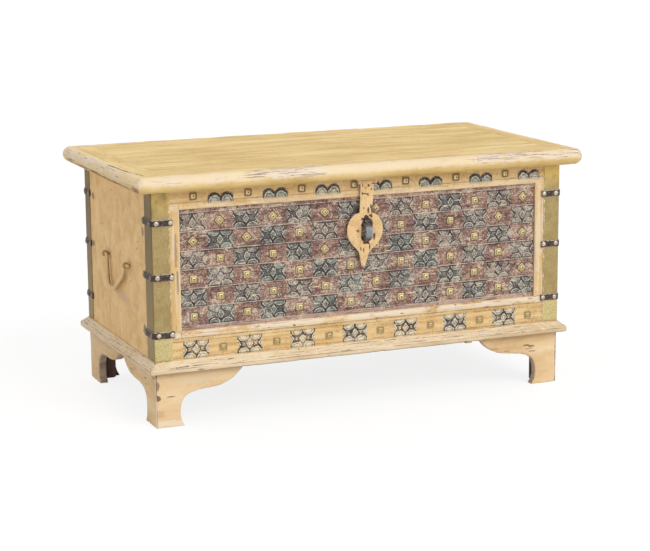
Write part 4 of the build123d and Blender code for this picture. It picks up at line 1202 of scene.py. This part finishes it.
BRASS_LEVELS = [(0.151, 0.6)] + [(0.1525 + 0.37 * k / 74, 1.0) for k in range(75)] + [(0.524, 0.6)]
STRAP_EDGE = ((8, 0.35), (7.6, 0.75), (6.8, 0.95), (4, 1))  # height from the strap's middle in mm, and share
STRAP_RISES = [(-rise, share) for rise, share in STRAP_EDGE] + [(0, 1)] + list(reversed(STRAP_EDGE))
ENDS = ((-1, "front"), (1, "back"))
for side_y, end in ENDS:
    for side_x, hand in ((-1, "left"), (1, "right")):
        heap = Heap()
        path = corner_path(side_x, side_y, BRASS_LEGS, bend=0.0025, pitch=0.005)
        heap.add(*corner_sheet(path, BRASS_LEVELS, lift=0.0, thick=0.0011, dents=0.0005, seed=5.0))
        name, node = f"brass_{end}_{hand}", f"corner_brass_{end}_{hand}"
        heap.piece(name, "case", "corner_brass", brass, node, 40, turn_out=True)
for side_y, end in ENDS:
    heap = Heap()
    for side_x in (-1, 1):
        path = corner_path(side_x, side_y, STRAP_LEGS, bend=0.004, pitch=0.004)
        for z in STRAP_LEVELS:
            levels = [(z + rise / 1000, share) for rise, share in STRAP_RISES]
            heap.add(*corner_sheet(path, levels, lift=0.0012, thick=0.0023, dents=0.0006, seed=9.0 + z))
    heap.piece("iron_straps_" + end, "case", "strap_iron", iron, "corner_straps_" + end, 50, turn_out=True)


# ---------------------------------------------------------------- hasp
def plate(rings, half_thickness, round_edge):
    """A flat plate from closed outlines in millimetres, the first outside and the others holes, in XY."""
    curve = bpy.data.curves.new("plate", "CURVE")
    curve.dimensions, curve.fill_mode = "2D", "BOTH"
    for ring in rings:
        spline = curve.splines.new("POLY")
        spline.points.add(len(ring) - 1)
        for point, (x, y) in zip(spline.points, ring):
            point.co = (x / 1000, y / 1000, 0, 1)
        spline.use_cyclic_u = True
    curve.extrude, curve.bevel_depth, curve.bevel_resolution = half_thickness - round_edge, round_edge, 2
    curve.offset = -round_edge
    return settled(placed("plate", curve))


# The right half of the blade from its top to its point, as half width and drop, and its slot, all in mm
EYE_DROP, EYE_RADIUS, SLOT_X, SLOT_RADIUS, SLOT_RISE = 110, 44, 4.5, 13.5, 14.5
half_blade = [(16.5, 2), (16.2, 20), (15.4, 45), (15.0, 64), (15.4, 70), (20, 72.5)]
for degrees in range(58, -45, -8):
    a = math.radians(degrees)
    half_blade.append((EYE_RADIUS * math.cos(a), EYE_DROP - EYE_RADIUS * math.sin(a)))
half_blade += [(26, 147), (18, 154), (12.5, 160), (10.5, 166), (8.2, 176), (6, 186), (4.2, 191)]
outline = [(w, -d) for w, d in half_blade] + [(0, -194)] + [(-w, -d) for w, d in reversed(half_blade)]
slot = []
for k in range(28):
    a = 2 * math.pi * k / 28
    rise = SLOT_RISE * (1 if math.sin(a) > 0.01 else -1 if math.sin(a) < -0.01 else 0)
    slot.append((SLOT_X + SLOT_RADIUS * math.cos(a), -EYE_DROP + rise + SLOT_RADIUS * math.sin(a)))
sheet = plate([outline, slot], half_thickness=0.002, round_edge=0.0007)
blade = softened(sheet, voxel=0.0011, passes=2)
lean = Matrix.Rotation(math.radians(3.2), 3, "Y")
points = []
for vertex in blade.vertices:
    x, y, z = vertex.co
    lift = rough((x, y, 0), 45, 2.0) * 0.0012 + rough((x, y, z), 160, 5.0) * 0.0004
    points.append(lean @ Vector((x, -(z + lift), y)) + Vector((HASP_X, HASP_Y, HASP_Z)))
heap = Heap()
heap.add(points, [list(p.vertices) for p in blade.polygons])
# The roll round the pin, as place along it and radius
roll = [(-0.0165, 0.0028), (-0.0162, 0.0050), (-0.0155, 0.0055)]
roll += [(-x, radius) for x, radius in reversed(roll)]
heap.add(*tube([(HASP_X + x, HASP_Y, HASP_Z) for x, radius in roll], [radius for x, radius in roll], 20))
heap.piece("forged_hasp", "hasp", "painted_iron", forged_paint, "hasp", crease=50)


# ---------------------------------------------------------------- bail handles
def rounded_path(corners, radii, pitch):
    """Points along straight runs with round corners between them."""
    corners = [Vector(c) for c in corners]
    out = [corners[0]]
    for before, here, after, radius in zip(corners, corners[1:], corners[2:], radii):
        a, b = (before - here).normalized(), (after - here).normalized()
        angle = math.acos(max(-1, min(1, a.dot(b))))
        reach = radius / math.tan(angle / 2)
        middle = here + (a + b).normalized() * (radius / math.sin(angle / 2))
        u, v = here + a * reach - middle, here + b * reach - middle
        sweep = math.acos(max(-1, min(1, u.dot(v) / (radius * radius))))
        count = max(3, round(sweep * radius / pitch))
        for k in range(count + 1):
            t = k / count
            out.append(middle + (u * math.sin((1 - t) * sweep) + v * math.sin(t * sweep)) / math.sin(sweep))
    out.append(corners[-1])
    fine = [out[0]]
    for a, b in zip(out, out[1:]):
        count = max(1, round((b - a).length / pitch))
        fine += [a.lerp(b, k / count) for k in range(1, count + 1)]
    return fine


# The bar's corners, as place along the chest's side and drop, and the radii between them
BAIL = ((-0.098, 0), (-0.077, 0), (-0.058, -0.029), (0.012, -0.073), (0.060, -0.073), (0.061, 0), (0.082, 0))
BAIL_RADII = (0.007, 0.020, 0.042, 0.023, 0.007)
BAR, BELLY = 0.00385, 0.0013  # the bar's radius at the eyes, and how much thicker it is at the bottom
for side, name in ((-1, "left"), (1, "right")):
    path = rounded_path([(side * HANDLE_X, y, HANDLE_Z + z) for y, z in BAIL], BAIL_RADII, 0.003)
    bellies = [min(1.0, max(0.0, (HANDLE_Z - place.z) / 0.05)) for place in path]
    radii = [BAR + BELLY * belly + rough(place, 90, 1.0) * 0.0005 for place, belly in zip(path, bellies)]
    heap = Heap()
    heap.add(*tube(path, radii, 14))
    body = "handle_" + name
    heap.piece("forged_bail_" + name, body, "painted_iron", bail_paint, body + "_bail", crease=60)

# ---------------------------------------------------------------- the CAD nodes that stay
# The start of a node's name, its material, its slot and the width of its soft edges
FINISHES = (
    ("lid_board", lid_x, "lid_wood", 0.0008),
    ("lid_battens", raw_y, "raw_wood", 0.001),
    ("front_left_stile", frame_z, "frame_wood", 0.0008),
    ("front_right_stile", frame_z, "frame_wood", 0.0008),
    ("left_side_board", side_paint, "frame_wood", 0.0015),
    ("right_side_board", side_paint, "frame_wood", 0.0015),
    ("back_", frame_x, "frame_wood", 0.0012),
    ("foot_corner_blocks", raw_z, "raw_wood", 0.001),
    ("floor_cleats", raw_y, "raw_wood", 0.001),
    ("floor_batten", raw_y, "raw_wood", 0.001),
    ("floor_board", raw_x, "raw_wood", 0.001),
    ("staple", steel, "staple_steel", 0.0008),
    ("handle_", eye_paint, "painted_iron", 0.0006),
    ("hasp_", forged_paint, "hinge_iron", 0.0006),
    ("hinge_", hinge, "hinge_iron", 0.0005),
)
for name, piece in nodes.items():
    if piece.hide_render:
        continue
    finish, slot, width = next(f[1:] for f in FINISHES if name.startswith(f[0]))
    piece.data.materials.clear()
    piece.data.materials.append(finish)
    bevel = piece.modifiers.new("soft_edges", "BEVEL")
    bevel.width, bevel.segments, bevel.limit_method = width, 2, "ANGLE"
    bevel.angle_limit = math.radians(35)

# ---------------------------------------------------------------- floor, world and lamp
WHITE = (1, 1, 1, 1)
GROUND = 6.0
ground = placed("floor", bpy.data.meshes.new("floor"))
corners = [(GROUND * x, GROUND * y, 0) for x, y in ((-1, -1), (1, -1), (1, 1), (-1, 1))]
ground.data.from_pydata(corners, [], [(0, 1, 2, 3)])

# The floor keeps a shadow but shows white to the camera
pale = Shader("pale_floor", Roughness=0.9, Specular_IOR_Level=0.1, Base_Color=(0.8, 0.8, 0.8, 1))
shadow_keeper = pale.node("BsdfDiffuse", {"Color": (0.2, 0.2, 0.2, 1)})
glow = pale.node("Emission", {"Color": WHITE, "Strength": 0.84})
lit = pale.node("AddShader", {0: shadow_keeper.outputs[0], 1: glow.outputs[0]})
both = pale.node("MixShader", {0: pale.seen_directly(), 1: pale.surface.outputs[0], 2: lit.outputs[0]})
pale.link(both.outputs[0], pale.output.inputs[0])
ground.data.materials.append(pale.material)

scene.world = bpy.data.worlds.new("studio")
scene.world.use_nodes = True
sky = Graph(scene.world.node_tree)
dome, backdrop = (sky.node("Background", {"Color": WHITE, "Strength": strength}) for strength in (0.66, 1.0))
chosen = sky.node("MixShader", {0: sky.seen_directly(), 1: dome.outputs[0], 2: backdrop.outputs[0]})
sky.link(chosen.outputs[0], sky.node("OutputWorld").inputs[0])

lamp = placed("key", bpy.data.lights.new("key", "SUN"))
lamp.data.energy, lamp.data.angle = 1.25, math.radians(35)
lamp.rotation_mode = "QUATERNION"
lamp.rotation_quaternion = Vector((-0.25, 0.75, -0.6)).to_track_quat("-Z", "Y")
